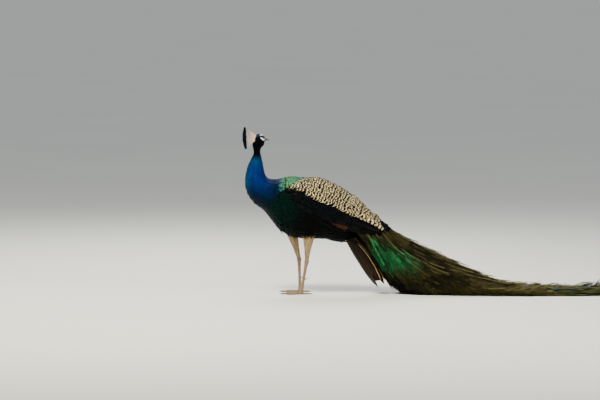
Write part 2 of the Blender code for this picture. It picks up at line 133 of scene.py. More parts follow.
# %% Camera
VIEW_HEIGHT, VIEW_WIDTH, VIEW_AWAY, VIEW_TILT = 0.407, 2.61, 14.0, 4.0
tilt = math.radians(VIEW_TILT)
aim = at(-0.0045, 0, VIEW_HEIGHT)
camera_data = bpy.data.cameras.new("camera")
camera_data.sensor_width = 36.0
camera_data.lens = 36.0 * VIEW_AWAY / VIEW_WIDTH
camera_data.clip_end = 2000.0
camera = in_scene("camera", camera_data)
camera.location = aim - Vector((0, math.cos(tilt), -math.sin(tilt))) * VIEW_AWAY
camera.rotation_euler = (math.pi / 2 - tilt, 0, 0)
bpy.context.scene.camera = camera

# %% Floor and lights
def mesh_object(name, points, faces):
    mesh = bpy.data.meshes.new(name)
    mesh.from_pydata([tuple(p) for p in points], [], [tuple(f) for f in faces])
    mesh.update()
    mesh.shade_smooth()
    return in_scene(name, mesh)


def solid_object(name, points, faces):
    """A closed mesh with all its faces turned outwards."""
    obj = mesh_object(name, points, faces)
    form = bmesh.new()
    form.from_mesh(obj.data)
    bmesh.ops.recalc_face_normals(form, faces=form.faces)
    form.to_mesh(obj.data)
    form.free()
    return obj


def new_material(name, **sockets):
    """A material with its one-value sockets set. Underscores in the names stand for spaces."""
    made = bpy.data.materials.new(name)
    made.use_nodes = True
    shader = made.node_tree.nodes["Principled BSDF"]
    for key, value in sockets.items():
        shader.inputs[key.replace("_", " ")].default_value = value
    return made, made.node_tree, shader


def mottled_material(name, scale, low, high, detail=2.0, **sockets):
    """A finish whose colour drifts between two hex colours, in noise cells to the metre."""
    made, tree, shader = new_material(name, **sockets)
    place = add(tree, "ShaderNodeTexCoord")
    noise = add(
        tree, "ShaderNodeTexNoise", {"Vector": place.outputs["Object"], "Scale": scale, "Detail": detail}
    )
    tone = add(tree, "ShaderNodeMix", {0: noise, 6: linear(low), 7: linear(high)}, data_type="RGBA")
    tree.links.new(tone.outputs[2], shader.inputs["Base Color"])
    return made, tree, shader, noise.outputs["Fac"]


FLOOR_HALF = 400.0  # so wide that its far edge stays above the view
corners = [(-FLOOR_HALF, -FLOOR_HALF, 0), (FLOOR_HALF, -FLOOR_HALF, 0)]
corners += [(FLOOR_HALF, FLOOR_HALF, 0), (-FLOOR_HALF, FLOOR_HALF, 0)]
floor = mesh_object("floor", corners, [(0, 1, 2, 3)])
# Painted studio floor: pale and matt, a shade uneven.
paint_matt = mottled_material("pale_matt_floor", 0.6, "#dadbd4", "#e4e5de", Roughness=0.9)[0]
floor.data.materials.append(paint_matt)

world = bpy.data.worlds.new("studio")
bpy.context.scene.world = world
world.use_nodes = True
world.node_tree.nodes["Background"].inputs["Color"].default_value = linear("#e9eef2")
world.node_tree.nodes["Background"].inputs["Strength"].default_value = 0.62


def soft_light(name, place, size, power, colour):
    lamp = bpy.data.lights.new(name, "AREA")
    lamp.size = size
    lamp.energy = power
    lamp.color = linear(colour)[:3]
    holder = in_scene(name, lamp)
    holder.location = place
    holder.rotation_euler = (aim - Vector(place)).to_track_quat("-Z", "Y").to_euler()


soft_light("key", at(-1.3, -2.0, 3.6), 1.2, 300, "#fff2dc")
soft_light("fill", at(2.8, -2.4, 1.8), 2.0, 75, "#f2f4ff")
soft_light("rim", at(-0.6, 2.4, 3.0), 1.6, 120, "#ffffff")
print("camera", VIEW_AWAY, "m away, lens", round(camera_data.lens), "mm, three lamps")

# %% [markdown]
# ## One skin under the feathers
# The solids of the flesh are separate so that each can be named, but a bird has one skin. Copies of
# them are grown a hair so that they touch, fused by a voxel remesh, relaxed, and drawn in by the depth
# of the coat, which is deep on the body and thin on the head and the wings. The train and the tail get
# such a bed too, because a bird's long feathers lie in layers over each other.

# %% Fuse solids into one skin
def plain(obj):
    """The object as a finished mesh: modifiers applied and gone."""
    graph = bpy.context.evaluated_depsgraph_get()
    mesh = bpy.data.meshes.new_from_object(obj.evaluated_get(graph))
    obj.modifiers.clear()
    obj.data = mesh
    return obj


def mesh_points(obj):
    points = np.empty(len(obj.data.vertices) * 3)
    obj.data.vertices.foreach_get("co", points)
    return points.reshape(-1, 3)


def move_points(obj, points):
    obj.data.vertices.foreach_set("co", points.ravel())
    obj.data.update()


def mesh_normals(obj):
    normals = np.empty(len(obj.data.vertices) * 3)
    obj.data.vertex_normals.foreach_get("vector", normals)
    return normals.reshape(-1, 3)


def fused(name, nodes, voxel, grow, relax, depth):
    """One closed mesh from copies of solids. depth gives how far each place is drawn in."""
    whole = bmesh.new()
    for node in nodes:
        form = bmesh.new()
        form.from_mesh(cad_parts[node].data)
        bmesh.ops.remove_doubles(form, verts=form.verts, dist=1e-5)
        form.normal_update()
        for vert in form.verts:
            vert.co += vert.normal * grow
        grown = bpy.data.meshes.new("grown")
        form.to_mesh(grown)
        form.free()
        whole.from_mesh(grown)
        bpy.data.meshes.remove(grown)
    mesh = bpy.data.meshes.new(name)
    whole.to_mesh(mesh)
    whole.free()
    skin = in_scene(name, mesh)
    remesh = skin.modifiers.new("fuse", "REMESH")
    remesh.mode = "VOXEL"
    remesh.voxel_size = voxel
    soften = skin.modifiers.new("relax", "SMOOTH")
    soften.factor = 0.5
    soften.iterations = relax
    plain(skin)
    skin.data.shade_smooth()
    points = mesh_points(skin)
    points -= mesh_normals(skin) * depth(points)[:, None]
    points[:, 2] = np.maximum(points[:, 2], 0.0)
    move_points(skin, points)
    print(name, "has", len(skin.data.polygons), "faces")
    return skin


WING_EDGE = np.array(
    (
        (-0.080, 0.440), (-0.050, 0.404), (0.000, 0.374), (0.060, 0.347), (0.120, 0.317),
        (0.180, 0.292), (0.240, 0.278), (0.300, 0.264), (0.378, 0.270),
    )
)  # the lower border of the folded wing, seen from the side: x and z
BODY_COAT, WING_COAT, NECK_COAT, HEAD_COAT = 0.0038, 0.0016, 0.0026, 0.0012
TRAIN_COAT, TAIL_COAT = 0.0070, 0.0025
COAT_SPARE = 0.0010  # feather roots sit this much below the rest of the coat
NECK_FROM, NECK_FULL, HEAD_FROM, HEAD_FULL = 0.47, 0.57, 0.60, 0.66  # heights where the coat thins
WING_FRONT, WING_INNER = -0.075, 0.02


def under_line(x, z, line):
    return z < np.interp(x, line[:, 0], line[:, 1])


def coat_depth(places):
    x, y, z = local(places)
    depth = BODY_COAT + (NECK_COAT - BODY_COAT) * smooth_step(NECK_FROM, NECK_FULL, z)
    depth += (HEAD_COAT - NECK_COAT) * smooth_step(HEAD_FROM, HEAD_FULL, z)
    wing = ~under_line(x, z, WING_EDGE) & (x > WING_FRONT) & (np.abs(y) > WING_INNER)
    depth[wing] = WING_COAT
    return depth + COAT_SPARE


FLESH = ["head", "neck_upper", "neck_middle", "neck_lower", "breast", "trunk"]
FLESH += ["tibia_left", "tibia_right", "wing_left", "wing_right", "primaries_left", "primaries_right"]
TRAIN_NODES = ["train_root", "train_middle", "train_lower", "train_tip"]
FUSE_BODY = (0.0028, 0.0018, 7)  # voxel and growth in metres, then rounds of relaxing
FUSE_TRAIN, FUSE_TAIL = (0.0065, 0.0008, 8), (0.0045, 0.0004, 8)
skin = fused("skin", FLESH, *FUSE_BODY, coat_depth)
body_form = fused("body_form", [n for n in FLESH if "tibia" not in n], *FUSE_BODY, coat_depth)
train_bed = fused("train_bed", TRAIN_NODES, *FUSE_TRAIN, lambda p: np.full(len(p), TRAIN_COAT))
tail_bed = fused("tail_bed", ["tail"], *FUSE_TAIL, lambda p: np.full(len(p), TAIL_COAT))

# %% [markdown]
# ## The colours of the plumage
# One function gives the colour of the plumage at any place on the body. The skin and each small feather
# ask it, so they always agree: black-blue head, cobalt neck, blue-green breast and a nearly black
# belly, with a painted sheen of teal on the front of the neck and a painted highlight on top of the head.
# An image could be painted instead, but a function of the place fits any mesh and needs no file.

# %% Markings of head, neck and body, with painted sheen and highlight
def plumage_and_painted_light(places):
    """Colour of the coat at world places, with painted sheen and highlight, as linear values, one row for
    each.
    """
    x, y, z = local(places)
    colour = all_of("#070807", len(x))
    from_front = x * 0.80 - z * 0.60  # runs from the throat back and down through breast and flank
    colour = mix_in(colour, "#031a15", 1 - smooth_step(-0.30, -0.185, from_front))
    colour = mix_in(colour, "#031528", 1 - smooth_step(-0.42, -0.33, from_front))
    neck = smooth_step(0.41, 0.52, z + (x + 0.16) * 0.25) * (1 - smooth_step(-0.165, -0.105, x))
    colour = mix_in(colour, "#032c74", neck)
    colour = mix_in(colour, "#04476c", neck * smooth_step(0.54, 0.60, z) * 0.8)
    # Painted sheen: a lighter teal along the front edge of the neck, where the iridescent blue catches
    # the key light.
    colour = mix_in(colour, "#056a80", neck * smooth_step(-0.210, -0.242, x) * 0.6)
    colour = mix_in(colour, "#08143c", neck * smooth_step(-0.185, -0.140, x) * 0.5)
    colour = mix_in(colour, "#04070c", smooth_step(0.582, 0.612, z))
    # Painted highlight: a lighter blue band along the top of the head, where light falls from above.
    colour = mix_in(colour, "#0d3a63", smooth_step(0.683, 0.700, z) * 0.8)
    leg = (1 - smooth_step(0.238, 0.246, z)) * (1 - smooth_step(0.09, 0.12, x))
    return mix_in(colour, "#a8926a", leg)


def paint(obj, colours):
    layer = obj.data.color_attributes.new("tint", "FLOAT_COLOR", "POINT")
    layer.data.foreach_set("color", np.asarray(colours, np.float32).ravel())


paint(skin, shaded(plumage_and_painted_light(mesh_points(skin)), 0.5))
paint(train_bed, all_of("#15130b", len(train_bed.data.vertices)))
paint(tail_bed, all_of("#1d150d", len(tail_bed.data.vertices)))

# %% Skin material
FOLLICLES = 420.0  # noise cells to the metre, so about 2.4 mm between feather roots
# Skin with down: dull, a little uneven, and of the coat's own colour, because down covers it.
hide, tree, shader = new_material("downy_skin", Roughness=0.8, Specular_IOR_Level=0.08)
tint = add(tree, "ShaderNodeAttribute", attribute_name="tint")
place = add(tree, "ShaderNodeTexCoord")
grain = add(tree, "ShaderNodeTexNoise", {"Vector": place.outputs["Object"], "Scale": FOLLICLES})
soft = add(tree, "ShaderNodeMapRange", {0: grain, 3: 0.6, 4: 1.1})
tone = add(tree, "ShaderNodeMix", {0: 1.0, 6: tint, 7: soft}, data_type="RGBA", blend_type="MULTIPLY")
bump = add(tree, "ShaderNodeBump", {"Strength": 0.4, "Distance": 0.001, "Height": grain})
tree.links.new(tone.outputs[2], shader.inputs["Base Color"])
tree.links.new(bump.outputs[0], shader.inputs["Normal"])

for piece, nodes, slot in (
    (skin, FLESH, "body_feather"), (train_bed, TRAIN_NODES, "train_feather"),
    (tail_bed, ["tail"], "tail_feather"),
):
    piece.data.materials.append(hide)
    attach(piece, "root")
    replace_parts(piece, *nodes)


# %% [markdown]
# ## Feather keratin
# A feather is keratin: a shaft, and vanes of barbs that lie together. Its blue and green come from the
# way thin layers in the barbs reflect light, not from dye, so it is shaded as partly metallic, which
# tints the highlight. The material reads two colours that each feather carries, for its root and its
# tip, and draws the barbs as fine slanting lines on the feather's own map, called vane, which runs
# across it in x and along it in y. Bars, a rim or a pale shaft are added where a tract has them.

# %% Feather material
SHEEN = (0.30, 0.36, 0.42, 1.0)  # keeps the grazing highlight dark and blue
BARB_SLANT = -1.2
BARB_WAVE = 6.28  # radians of the sine that draws one barb and one gap


def feather_material(
    name, metallic, roughness, barbs, gloss=0.3, bars=None, rim=None, shaft=None, vary=0.25
):
    """barbs is their number to the length. bars are (colour, count, bow, half width, phase), rim is
    (colour, where it starts), shaft is a colour, and vary is how uneven the tone is."""
    made, tree, shader = new_material(
        name, Metallic=metallic, Roughness=roughness, Specular_IOR_Level=gloss
    )
    shader.inputs["Specular Tint"].default_value = SHEEN
    vane = add(tree, "ShaderNodeUVMap", uv_map="vane")
    place = add(tree, "ShaderNodeSeparateXYZ", {0: vane})
    off = add(tree, "ShaderNodeMath", {0: place.outputs["X"], 1: 0.5}, operation="SUBTRACT")
    side = add(tree, "ShaderNodeMath", {0: off}, operation="ABSOLUTE")
    root = add(tree, "ShaderNodeAttribute", attribute_name="root_tint")
    tip = add(tree, "ShaderNodeAttribute", attribute_name="tip_tint")
    share = add(tree, "ShaderNodeMapRange", {0: place.outputs["Y"], 1: 0.35, 2: 0.9})
    ground = add(tree, "ShaderNodeMix", {0: share, 6: root, 7: tip}, data_type="RGBA")
    colour = ground.outputs[2]
    spot = add(tree, "ShaderNodeTexCoord")
    mottle = add(tree, "ShaderNodeTexNoise", {"Vector": spot.outputs["Object"], "Scale": 70.0})
    if bars:
        bar_hex, count, bow, width, phase = bars
        swell = add(tree, "ShaderNodeMath", {0: side, 1: 2.0}, operation="POWER")
        bowed = add(
            tree, "ShaderNodeMath", {0: swell, 1: bow, 2: place.outputs["Y"]}, operation="MULTIPLY_ADD"
        )
        turns = add(tree, "ShaderNodeMath", {0: bowed, 1: count, 2: phase}, operation="MULTIPLY_ADD")
        waved = add(tree, "ShaderNodeMath", {0: mottle, 1: 0.9, 2: turns}, operation="MULTIPLY_ADD")
        saw = add(tree, "ShaderNodeMath", {0: waved, 1: 1.0}, operation="FRACT")
        middle = add(tree, "ShaderNodeMath", {0: saw, 1: 0.5}, operation="SUBTRACT")
        away = add(tree, "ShaderNodeMath", {0: middle}, operation="ABSOLUTE")
        pale = add(tree, "ShaderNodeMapRange", {0: away, 1: width - 0.03, 2: width + 0.03})
        barred = add(tree, "ShaderNodeMix", {0: pale, 6: linear(bar_hex), 7: colour}, data_type="RGBA")
        colour = barred.outputs[2]
    if rim:
        rim_hex, inner = rim
        ahead = add(tree, "ShaderNodeMath", {0: place.outputs["Y"], 1: 0.52}, operation="SUBTRACT")
        pair = add(tree, "ShaderNodeCombineXYZ", {0: side, 1: ahead})
        reach = add(tree, "ShaderNodeVectorMath", {0: pair}, operation="LENGTH")
        line = add(tree, "ShaderNodeMapRange", {0: reach.outputs["Value"], 1: inner, 2: inner + 0.08})
        rimmed = add(tree, "ShaderNodeMix", {0: line, 6: colour, 7: linear(rim_hex)}, data_type="RGBA")
        colour = rimmed.outputs[2]
    slant = add(
        tree, "ShaderNodeMath", {0: side, 1: BARB_SLANT, 2: place.outputs["Y"]}, operation="MULTIPLY_ADD"
    )
    comb = add(tree, "ShaderNodeMath", {0: slant, 1: barbs * BARB_WAVE}, operation="MULTIPLY")
    comb = add(tree, "ShaderNodeMath", {0: comb}, operation="SINE")
    lines = add(tree, "ShaderNodeMapRange", {0: comb, 1: -1.0, 2: 1.0, 3: 0.8, 4: 1.0})
    uneven = add(tree, "ShaderNodeMapRange", {0: mottle, 3: 1 - vary, 4: 1 + vary})
    shade = add(tree, "ShaderNodeMath", {0: lines, 1: uneven}, operation="MULTIPLY")
    dark = add(
        tree, "ShaderNodeMix", {0: 1.0, 6: colour, 7: shade}, data_type="RGBA", blend_type="MULTIPLY"
    )
    colour = dark.outputs[2]
    if shaft:
        line = add(tree, "ShaderNodeMapRange", {0: side, 1: 0.05, 2: 0.09})
        shafted = add(tree, "ShaderNodeMix", {0: line, 6: linear(shaft), 7: colour}, data_type="RGBA")
        colour = shafted.outputs[2]
    bump = add(tree, "ShaderNodeBump", {"Strength": 0.3, "Distance": 0.0004, "Height": comb})
    tree.links.new(colour, shader.inputs["Base Color"])
    tree.links.new(bump.outputs[0], shader.inputs["Normal"])
    return made


# %% [markdown]
# ## Feathers to repeat
# Small feathers are repeated thousands of times, so each has only a few dozen faces. A leaf form, one
# unit long and one unit to each side, is closed all round: a raised middle, thin edges and a keel
# below. A barb is a single thin blade that bends towards the tip of its feather. A flat card with a
# picture is the usual short cut, but real mesh keeps a crisp edge from every side and casts a true
# shadow.

# %% Small feather forms
def tube_faces(first, rings, count, tip=True):
    """Faces between rings of count points. The first ring is closed, and the last one too, or it runs
    to a tip, which is the point after it."""
    last, end = first + (rings - 1) * count, first + rings * count
    turns = [(k, (k + 1) % count) for k in range(count)]
    starts = range(first, last, count)
    faces = [(a + k, a + count + k, a + count + n, a + n) for a in starts for k, n in turns]
    faces += [(last + k, end, last + n) for k, n in turns] if tip else [tuple(range(last, end))[::-1]]
    return faces + [tuple(range(first, first + count))]


def ball_faces(rings, count):
    """Faces of a ball: a first pole, rings of count points, and a last pole."""
    faces, last = [], 1 + (rings - 1) * count
    for k in range(count):
        nxt = (k + 1) % count
        faces.append((0, 1 + k, 1 + nxt))
        for i in range(rings - 2):
            a, b = 1 + i * count, 1 + (i + 1) * count
            faces.append((a + k, b + k, b + nxt, a + nxt))
        faces.append((last, last - count + nxt, last - count + k))
    return faces


def leaf(name, stations, camber, droop):
    """Stations are (share of the length, half width). The last one is the tip."""
    points = []
    for along, half in stations[:-1]:
        drop = -droop * along * along
        points += [(along, -half, drop), (along, 0, drop + camber * (0.3 + 0.7 * half))]
        points += [(along, half, drop), (along, 0, drop - 0.1 * half)]
    points.append((stations[-1][0], 0, -droop))
    faces = tube_faces(0, len(stations) - 1, 4)
    return unit_form(name, points, faces, [(0.5 + 0.5 * p[1], p[0]) for p in points])


def barb(name, bend):
    """A blade with three edges. bend is how far its tip swings sideways, in half widths."""
    points, spread = [], []
    for along, half in ((0, 0.7), (0.4, 1.0), (0.75, 0.7)):
        swing = bend * along * along
        points += [(along, swing - half, 0), (along, swing, 0.25), (along, swing + half, 0)]
        spread += [(0.1, along), (0.5, along), (0.9, along)]
    points.append((1, bend, 0))
    spread.append((0.5, 1))
    return unit_form(name, points, tube_faces(0, 3, 3), spread)


def unit_form(name, points, faces, spread):
    obj = solid_object(name, points, faces)
    layer = obj.data.uv_layers.new(name="vane")
    for loop in obj.data.loops:
        layer.data[loop.index].uv = spread[loop.vertex_index]
    return obj


ROUNDED = leaf("rounded", ((0, 0.2), (0.35, 0.85), (0.7, 1.0), (0.9, 0.62), (1, 0)), 0.35, 0.10)
POINTED = leaf("pointed", ((0, 0.25), (0.3, 0.9), (0.65, 0.75), (0.88, 0.3), (1, 0)), 0.40, 0.08)
BROAD = leaf("broad", ((0, 0.3), (0.3, 0.9), (0.75, 1.0), (0.93, 0.75), (1, 0)), 0.22, 0.06)
BARB_BEND = 8.0
BARB_LEFT, BARB_RIGHT = barb("barb_left", -BARB_BEND), barb("barb_right", BARB_BEND)
FORMS = (ROUNDED, POINTED, BROAD, BARB_LEFT, BARB_RIGHT)

# %% [markdown]
# ## Laying feathers with Geometry Nodes
# Feathers grow in rows, each row covering the roots of the next. The rows are worked out as points that
# carry a turn, a size, two colours and a place on the feather map. One node tree puts a feather on each
# point, makes it real mesh, and gives each feather its own patch of the map OFBake, at its root's
# place.

# %% The node tree that lays feathers
def laying_tree():
    tree = bpy.data.node_groups.new("lay_feathers", "GeometryNodeTree")
    face = tree.interface
    face.new_socket("Roots", in_out="INPUT", socket_type="NodeSocketGeometry")
    face.new_socket("Feather", in_out="INPUT", socket_type="NodeSocketObject")
    face.new_socket("Patch", in_out="INPUT", socket_type="NodeSocketVector")
    face.new_socket("Finish", in_out="INPUT", socket_type="NodeSocketMaterial")
    face.new_socket("Feathers", in_out="OUTPUT", socket_type="NodeSocketGeometry")
    given = add(tree, "NodeGroupInput")
    form = add(tree, "GeometryNodeObjectInfo", {"Object": given.outputs["Feather"]})
    turn = add(tree, "GeometryNodeInputNamedAttribute", {"Name": "turn"}, data_type="FLOAT_VECTOR")
    size = add(tree, "GeometryNodeInputNamedAttribute", {"Name": "size"}, data_type="FLOAT_VECTOR")
    vane = add(tree, "GeometryNodeInputNamedAttribute", {"Name": "vane"}, data_type="FLOAT_VECTOR")
    cell = add(tree, "GeometryNodeInputNamedAttribute", {"Name": "cell"}, data_type="FLOAT_VECTOR")
    laid = add(
        tree,
        "GeometryNodeInstanceOnPoints",
        {
            "Points": given.outputs["Roots"],
            "Instance": form.outputs["Geometry"],
            "Rotation": turn.outputs["Attribute"],
            "Scale": size.outputs["Attribute"],
        },
    )
    real = add(tree, "GeometryNodeRealizeInstances", {"Geometry": laid})
    put = add(
        tree, "ShaderNodeVectorMath", {0: vane, 1: given.outputs["Patch"], 2: cell},
        operation="MULTIPLY_ADD",
    )
    mapped = add(
        tree, "GeometryNodeStoreNamedAttribute", {"Geometry": real, "Name": "OFBake", "Value": put},
        data_type="FLOAT2", domain="CORNER",
    )
    finished = add(
        tree, "GeometryNodeSetMaterial", {"Geometry": mapped, "Material": given.outputs["Finish"]}
    )
    add(tree, "NodeGroupOutput", {0: finished})
    return tree


LAYING = laying_tree()
SOCKETS = {item.name: item.identifier for item in LAYING.interface.items_tree if item.in_out == "INPUT"}

# %% Feather map cells
PATCH_SHARE = 0.92  # of a cell, so that neighbours on the feather map never touch


def bake_cells(along, across):
    """A cell of the feather map for each feather: rows follow the body, columns go round it."""
    count = len(along)
    rows = max(1, int(math.sqrt(count)))
    columns = math.ceil(count / rows)
    order = np.argsort(along, kind="stable")
    cells = np.zeros((count, 3))
    for row in range(rows):
        members = order[row * columns : (row + 1) * columns]
        ranked = members[np.argsort(across[members], kind="stable")]
        cells[ranked, 0] = np.arange(len(ranked)) / columns
        cells[ranked, 1] = row / rows
    return cells, (PATCH_SHARE / columns, PATCH_SHARE / rows, 0.0)


def roots_of(rows):
    """Roots from rows of place, normal, lie, s and t."""
    return dict(zip(("place", "normal", "lie", "s", "t"), (np.array(column) for column in zip(*rows))))


def take(roots, chosen):
    return {key: value[chosen] for key, value in roots.items()}


# %% Lay one tract
ABOVE_FLOOR = 0.0002


def lay(name, roots, form, finish, size, rise, tints, seed, loose=0.05, vary=0.18):
    """Lays one tract. size is length, width and thickness in metres, each one value or one a root."""
    dice = np.random.default_rng(seed)
    count = len(roots["place"])
    normal, lie = unit(roots["normal"]), roots["lie"]
    lie = unit(lie - normal * (lie * normal).sum(1, keepdims=True))
    lie = unit(lie + np.cross(normal, lie) * dice.normal(0, loose, (count, 1)))
    lift = np.radians(rise) * dice.uniform(0.7, 1.3, (count, 1))
    along = lie * np.cos(lift) + normal * np.sin(lift)
    up = normal * np.cos(lift) - lie * np.sin(lift)
    side = np.cross(up, along)
    turns = np.empty((count, 3))
    for i in range(count):
        turns[i] = Matrix((along[i], side[i], up[i])).transposed().to_euler()
    length, width, thick = size
    grown = dice.uniform(0.87, 1.13, count)
    sizes = np.stack((length * grown, width * grown * 0.5, thick * np.ones(count) * 2), 1)
    cells, patch = bake_cells(roots["s"], roots["t"])
    tone = dice.uniform(1 - vary, 1 + vary, count)
    mesh = bpy.data.meshes.new(name)
    mesh.vertices.add(count)
    mesh.vertices.foreach_set("co", roots["place"].ravel())
    for key, kind, values in (
        ("turn", "FLOAT_VECTOR", turns), ("size", "FLOAT_VECTOR", sizes), ("cell", "FLOAT_VECTOR", cells),
        ("root_tint", "FLOAT_COLOR", shaded(tints[0], tone)),
        ("tip_tint", "FLOAT_COLOR", shaded(tints[1], tone)),
    ):
        layer = mesh.attributes.new(key, kind, "POINT")
        field = "color" if kind == "FLOAT_COLOR" else "vector"
        layer.data.foreach_set(field, np.asarray(values, np.float32).ravel())
    piece = in_scene(name, mesh)
    nodes = piece.modifiers.new("lay", "NODES")
    nodes.node_group = LAYING
    nodes[SOCKETS["Feather"]] = form
    nodes[SOCKETS["Patch"]] = patch
    nodes[SOCKETS["Finish"]] = finish
    plain(piece)
    piece.data.shade_smooth()
    return finish_tract(piece, count)


def finish_tract(piece, count):
    """Drops the layers that only the laying needed, and keeps the tract above the floor."""
    for key in ("turn", "size", "cell"):
        layer = piece.data.attributes.get(key)
        if layer:
            piece.data.attributes.remove(layer)
    points = mesh_points(piece)
    points[:, 2] = np.maximum(points[:, 2], ABOVE_FLOOR)
    move_points(piece, points)
    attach(piece, "root")
    triangles = sum(len(p.vertices) - 2 for p in piece.data.polygons)
    print(f"{piece.name}: {count} feathers, {triangles} triangles")
    return piece


# %% [markdown]
# ## Walking over the body
# To place feathers, a walk goes along the middle of a form. At each step it looks outwards all round
# and notes where it meets the surface. That gives a map: s metres along the walk, and t from -1 through
# 0 at the top to 1, by the share of the way round, with the bird's left at negative t. Rows follow the
# walk, and the lie of a feather is the way the walk goes.

# %% Lines and tables
def gone_along(points):
    """Metres gone at each point of a line."""
    return np.concatenate(([0], np.cumsum(np.linalg.norm(np.diff(points, axis=0), axis=1))))


def read_off(marks, stations, table):
    """Every column of a table that is known at some stations, read off at the marks."""
    return np.stack([np.interp(marks, stations, column) for column in table.T], 1)


def resampled(rows, count, rounds=3):
    """The table at evenly spaced stations, eased by some rounds of averages."""
    rows = np.array(rows, float)
    table = read_off(np.linspace(0, len(rows) - 1, count), range(len(rows)), rows)
    for _ in range(rounds):
        table[1:-1] = (table[:-2] + table[1:-1] + table[2:]) / 3
    return table


# %% Survey of a surface
COLUMNS = 129  # places kept round the form at each step
RAYS = 72  # looks to each side at each step
MOST_STRETCH = 3.5  # where the map stretches more, it has jumped across a gap


def tree_of(obj):
    mesh = obj.data
    return BVHTree.FromPolygons([v.co for v in mesh.vertices], [p.vertices for p in mesh.polygons])


def survey(tree, table, pace, reach, sweep=180.0, inward=False):
    """table holds x and z of the upper line, and x and z of the lower line, at stations on the way.
    It looks out from the middle, or inward from the reach, where the form is a shell round others."""
    table = resampled(table, 600, 20)
    gone = gone_along((table[:, :2] + table[:, 2:]) / 2)
    stops = np.arange(0, gone[-1], pace)
    table = read_off(stops, gone, table)
    middle = (table[:, :2] + table[:, 2:]) / 2
    ups = unit(table[:, :2] - table[:, 2:])
    steps = len(stops)
    place, normal = np.zeros((steps, COLUMNS, 3)), np.zeros((steps, COLUMNS, 3))
    found = np.zeros((steps, COLUMNS))
    share = np.linspace(0, 1, COLUMNS // 2 + 1)
    for i in range(steps):
        centre = at(middle[i, 0], 0, middle[i, 1])
        up = Vector((ups[i, 0], 0, ups[i, 1]))
        for turn in (-1, 1):
            hits, facing, seen = [], [], []
            for k in range(RAYS + 1):
                angle = math.radians(sweep) * k / RAYS
                way = up * math.cos(angle) + Vector((0, turn, 0)) * math.sin(angle)
                if inward:
                    hit, outward, _, _ = tree.ray_cast(centre + way * reach, -way, reach)
                else:
                    hit, outward, _, _ = tree.ray_cast(centre, way, reach)
                if hit is not None:
                    hits.append(hit)
                    facing.append(outward)
                    seen.append(k)
            if len(hits) < 2:
                continue
            hits, facing = np.array(hits), np.array(facing)
            arc = gone_along(hits)
            index = COLUMNS // 2 + turn * np.arange(COLUMNS // 2 + 1)
            place[i, index] = read_off(share * arc[-1], arc, hits)
            normal[i, index] = read_off(share * arc[-1], arc, facing)
            found[i, index] = 1.0 if seen[0] < RAYS // 4 else 0.0
    for _ in range(2):  # evens out the facets of the surface
        normal[1:-1, 1:-1] += normal[:-2, 1:-1] + normal[2:, 1:-1] + normal[1:-1, :-2] + normal[1:-1, 2:]
        normal = unit(normal)
    print("survey of", steps, "steps,", round(stops[-1], 3), "m long")
    return {"place": place, "normal": normal, "found": found, "pace": pace, "steps": steps}


# %% Values anywhere on a map
def on_map(chart, s, t, field="place"):
    """Values of a field of the map at any s and t."""
    row = np.clip(np.asarray(s, float) / chart["pace"], 0, chart["steps"] - 1.001)
    column = np.clip((np.asarray(t, float) + 1) / 2 * (COLUMNS - 1), 0, COLUMNS - 1.001)
    a, b = row.astype(int), column.astype(int)
    p, q = (row - a)[..., None], (column - b)[..., None]
    values = chart[field] if chart[field].ndim == 3 else chart[field][..., None]
    low = values[a, b] * (1 - q) + values[a, b + 1] * q
    high = values[a + 1, b] * (1 - q) + values[a + 1, b + 1] * q
    return low * (1 - p) + high * p


# %% Rows of feather roots
def rows_of_roots(chart, gaps, keep, aspect=1.3, jitter=0.12, seed=1):
    """Staggered rows of feather roots on a map, where keep says so. gaps is the distance between rows,
    in pairs of (s, gap), and aspect is the distance between neighbours in a row, in gaps."""
    dice = np.random.default_rng(seed)
    stop = (chart["steps"] - 3) * chart["pace"]
    all_s, all_t, s, row = [], [], 0.004, 0
    while s < stop:
        ring = chart["place"][int(s / chart["pace"])]
        length = np.linalg.norm(np.diff(ring, axis=0), axis=1).sum()
        gap = np.interp(s, *zip(*gaps))
        count = max(int(length / (gap * aspect)), 6)
        marks = -1 + 2 * (np.arange(count) + 0.5 * (row % 2) + dice.normal(0, jitter, count)) / count
        all_t.append((marks + 1) % 2 - 1)
        all_s.append(s + dice.normal(0, jitter, count) * gap)
        s += gap
        row += 1
    s, t = np.clip(np.concatenate(all_s), 0.004, stop), np.concatenate(all_t)
    step = chart["pace"]
    run = on_map(chart, s + step, t) - on_map(chart, s - step, t)
    roots = {
        "place": on_map(chart, s, t),
        "normal": on_map(chart, s, t, "normal"),
        "lie": run,
        "stretch": np.linalg.norm(run, axis=1) / (2 * step),
        "gap": np.interp(s, *zip(*gaps)),
        "s": s,
        "t": t,
    }
    seen = (on_map(chart, s, t, "found")[:, 0] > 0.99) & (roots["stretch"] < MOST_STRETCH)
    return take(roots, seen & keep(roots))


# %% The walk from nape to rump: x and z of the back, then of the throat, breast and belly
NAPE_TO_RUMP = (
    (-0.166, 0.664, -0.200, 0.667), (-0.158, 0.653, -0.212, 0.656), (-0.173, 0.633, -0.210, 0.638),
    (-0.175, 0.613, -0.2075, 0.612), (-0.170, 0.590, -0.219, 0.585), (-0.165, 0.566, -0.234, 0.551),
    (-0.161, 0.546, -0.2435, 0.505), (-0.156, 0.525, -0.241, 0.455), (-0.147, 0.509, -0.214, 0.404),
    (-0.131, 0.501, -0.160, 0.357), (-0.100, 0.501, -0.100, 0.281), (-0.040, 0.510, -0.040, 0.247),
    (0.030, 0.502, 0.030, 0.238), (0.100, 0.490, 0.100, 0.237), (0.165, 0.460, 0.165, 0.223),
    (0.215, 0.427, 0.215, 0.238), (0.245, 0.400, 0.236, 0.232),
)
SKIN_TREE = tree_of(skin)
body_map = survey(tree_of(body_form), NAPE_TO_RUMP, 0.002, 0.4)
bpy.data.objects.remove(body_form)

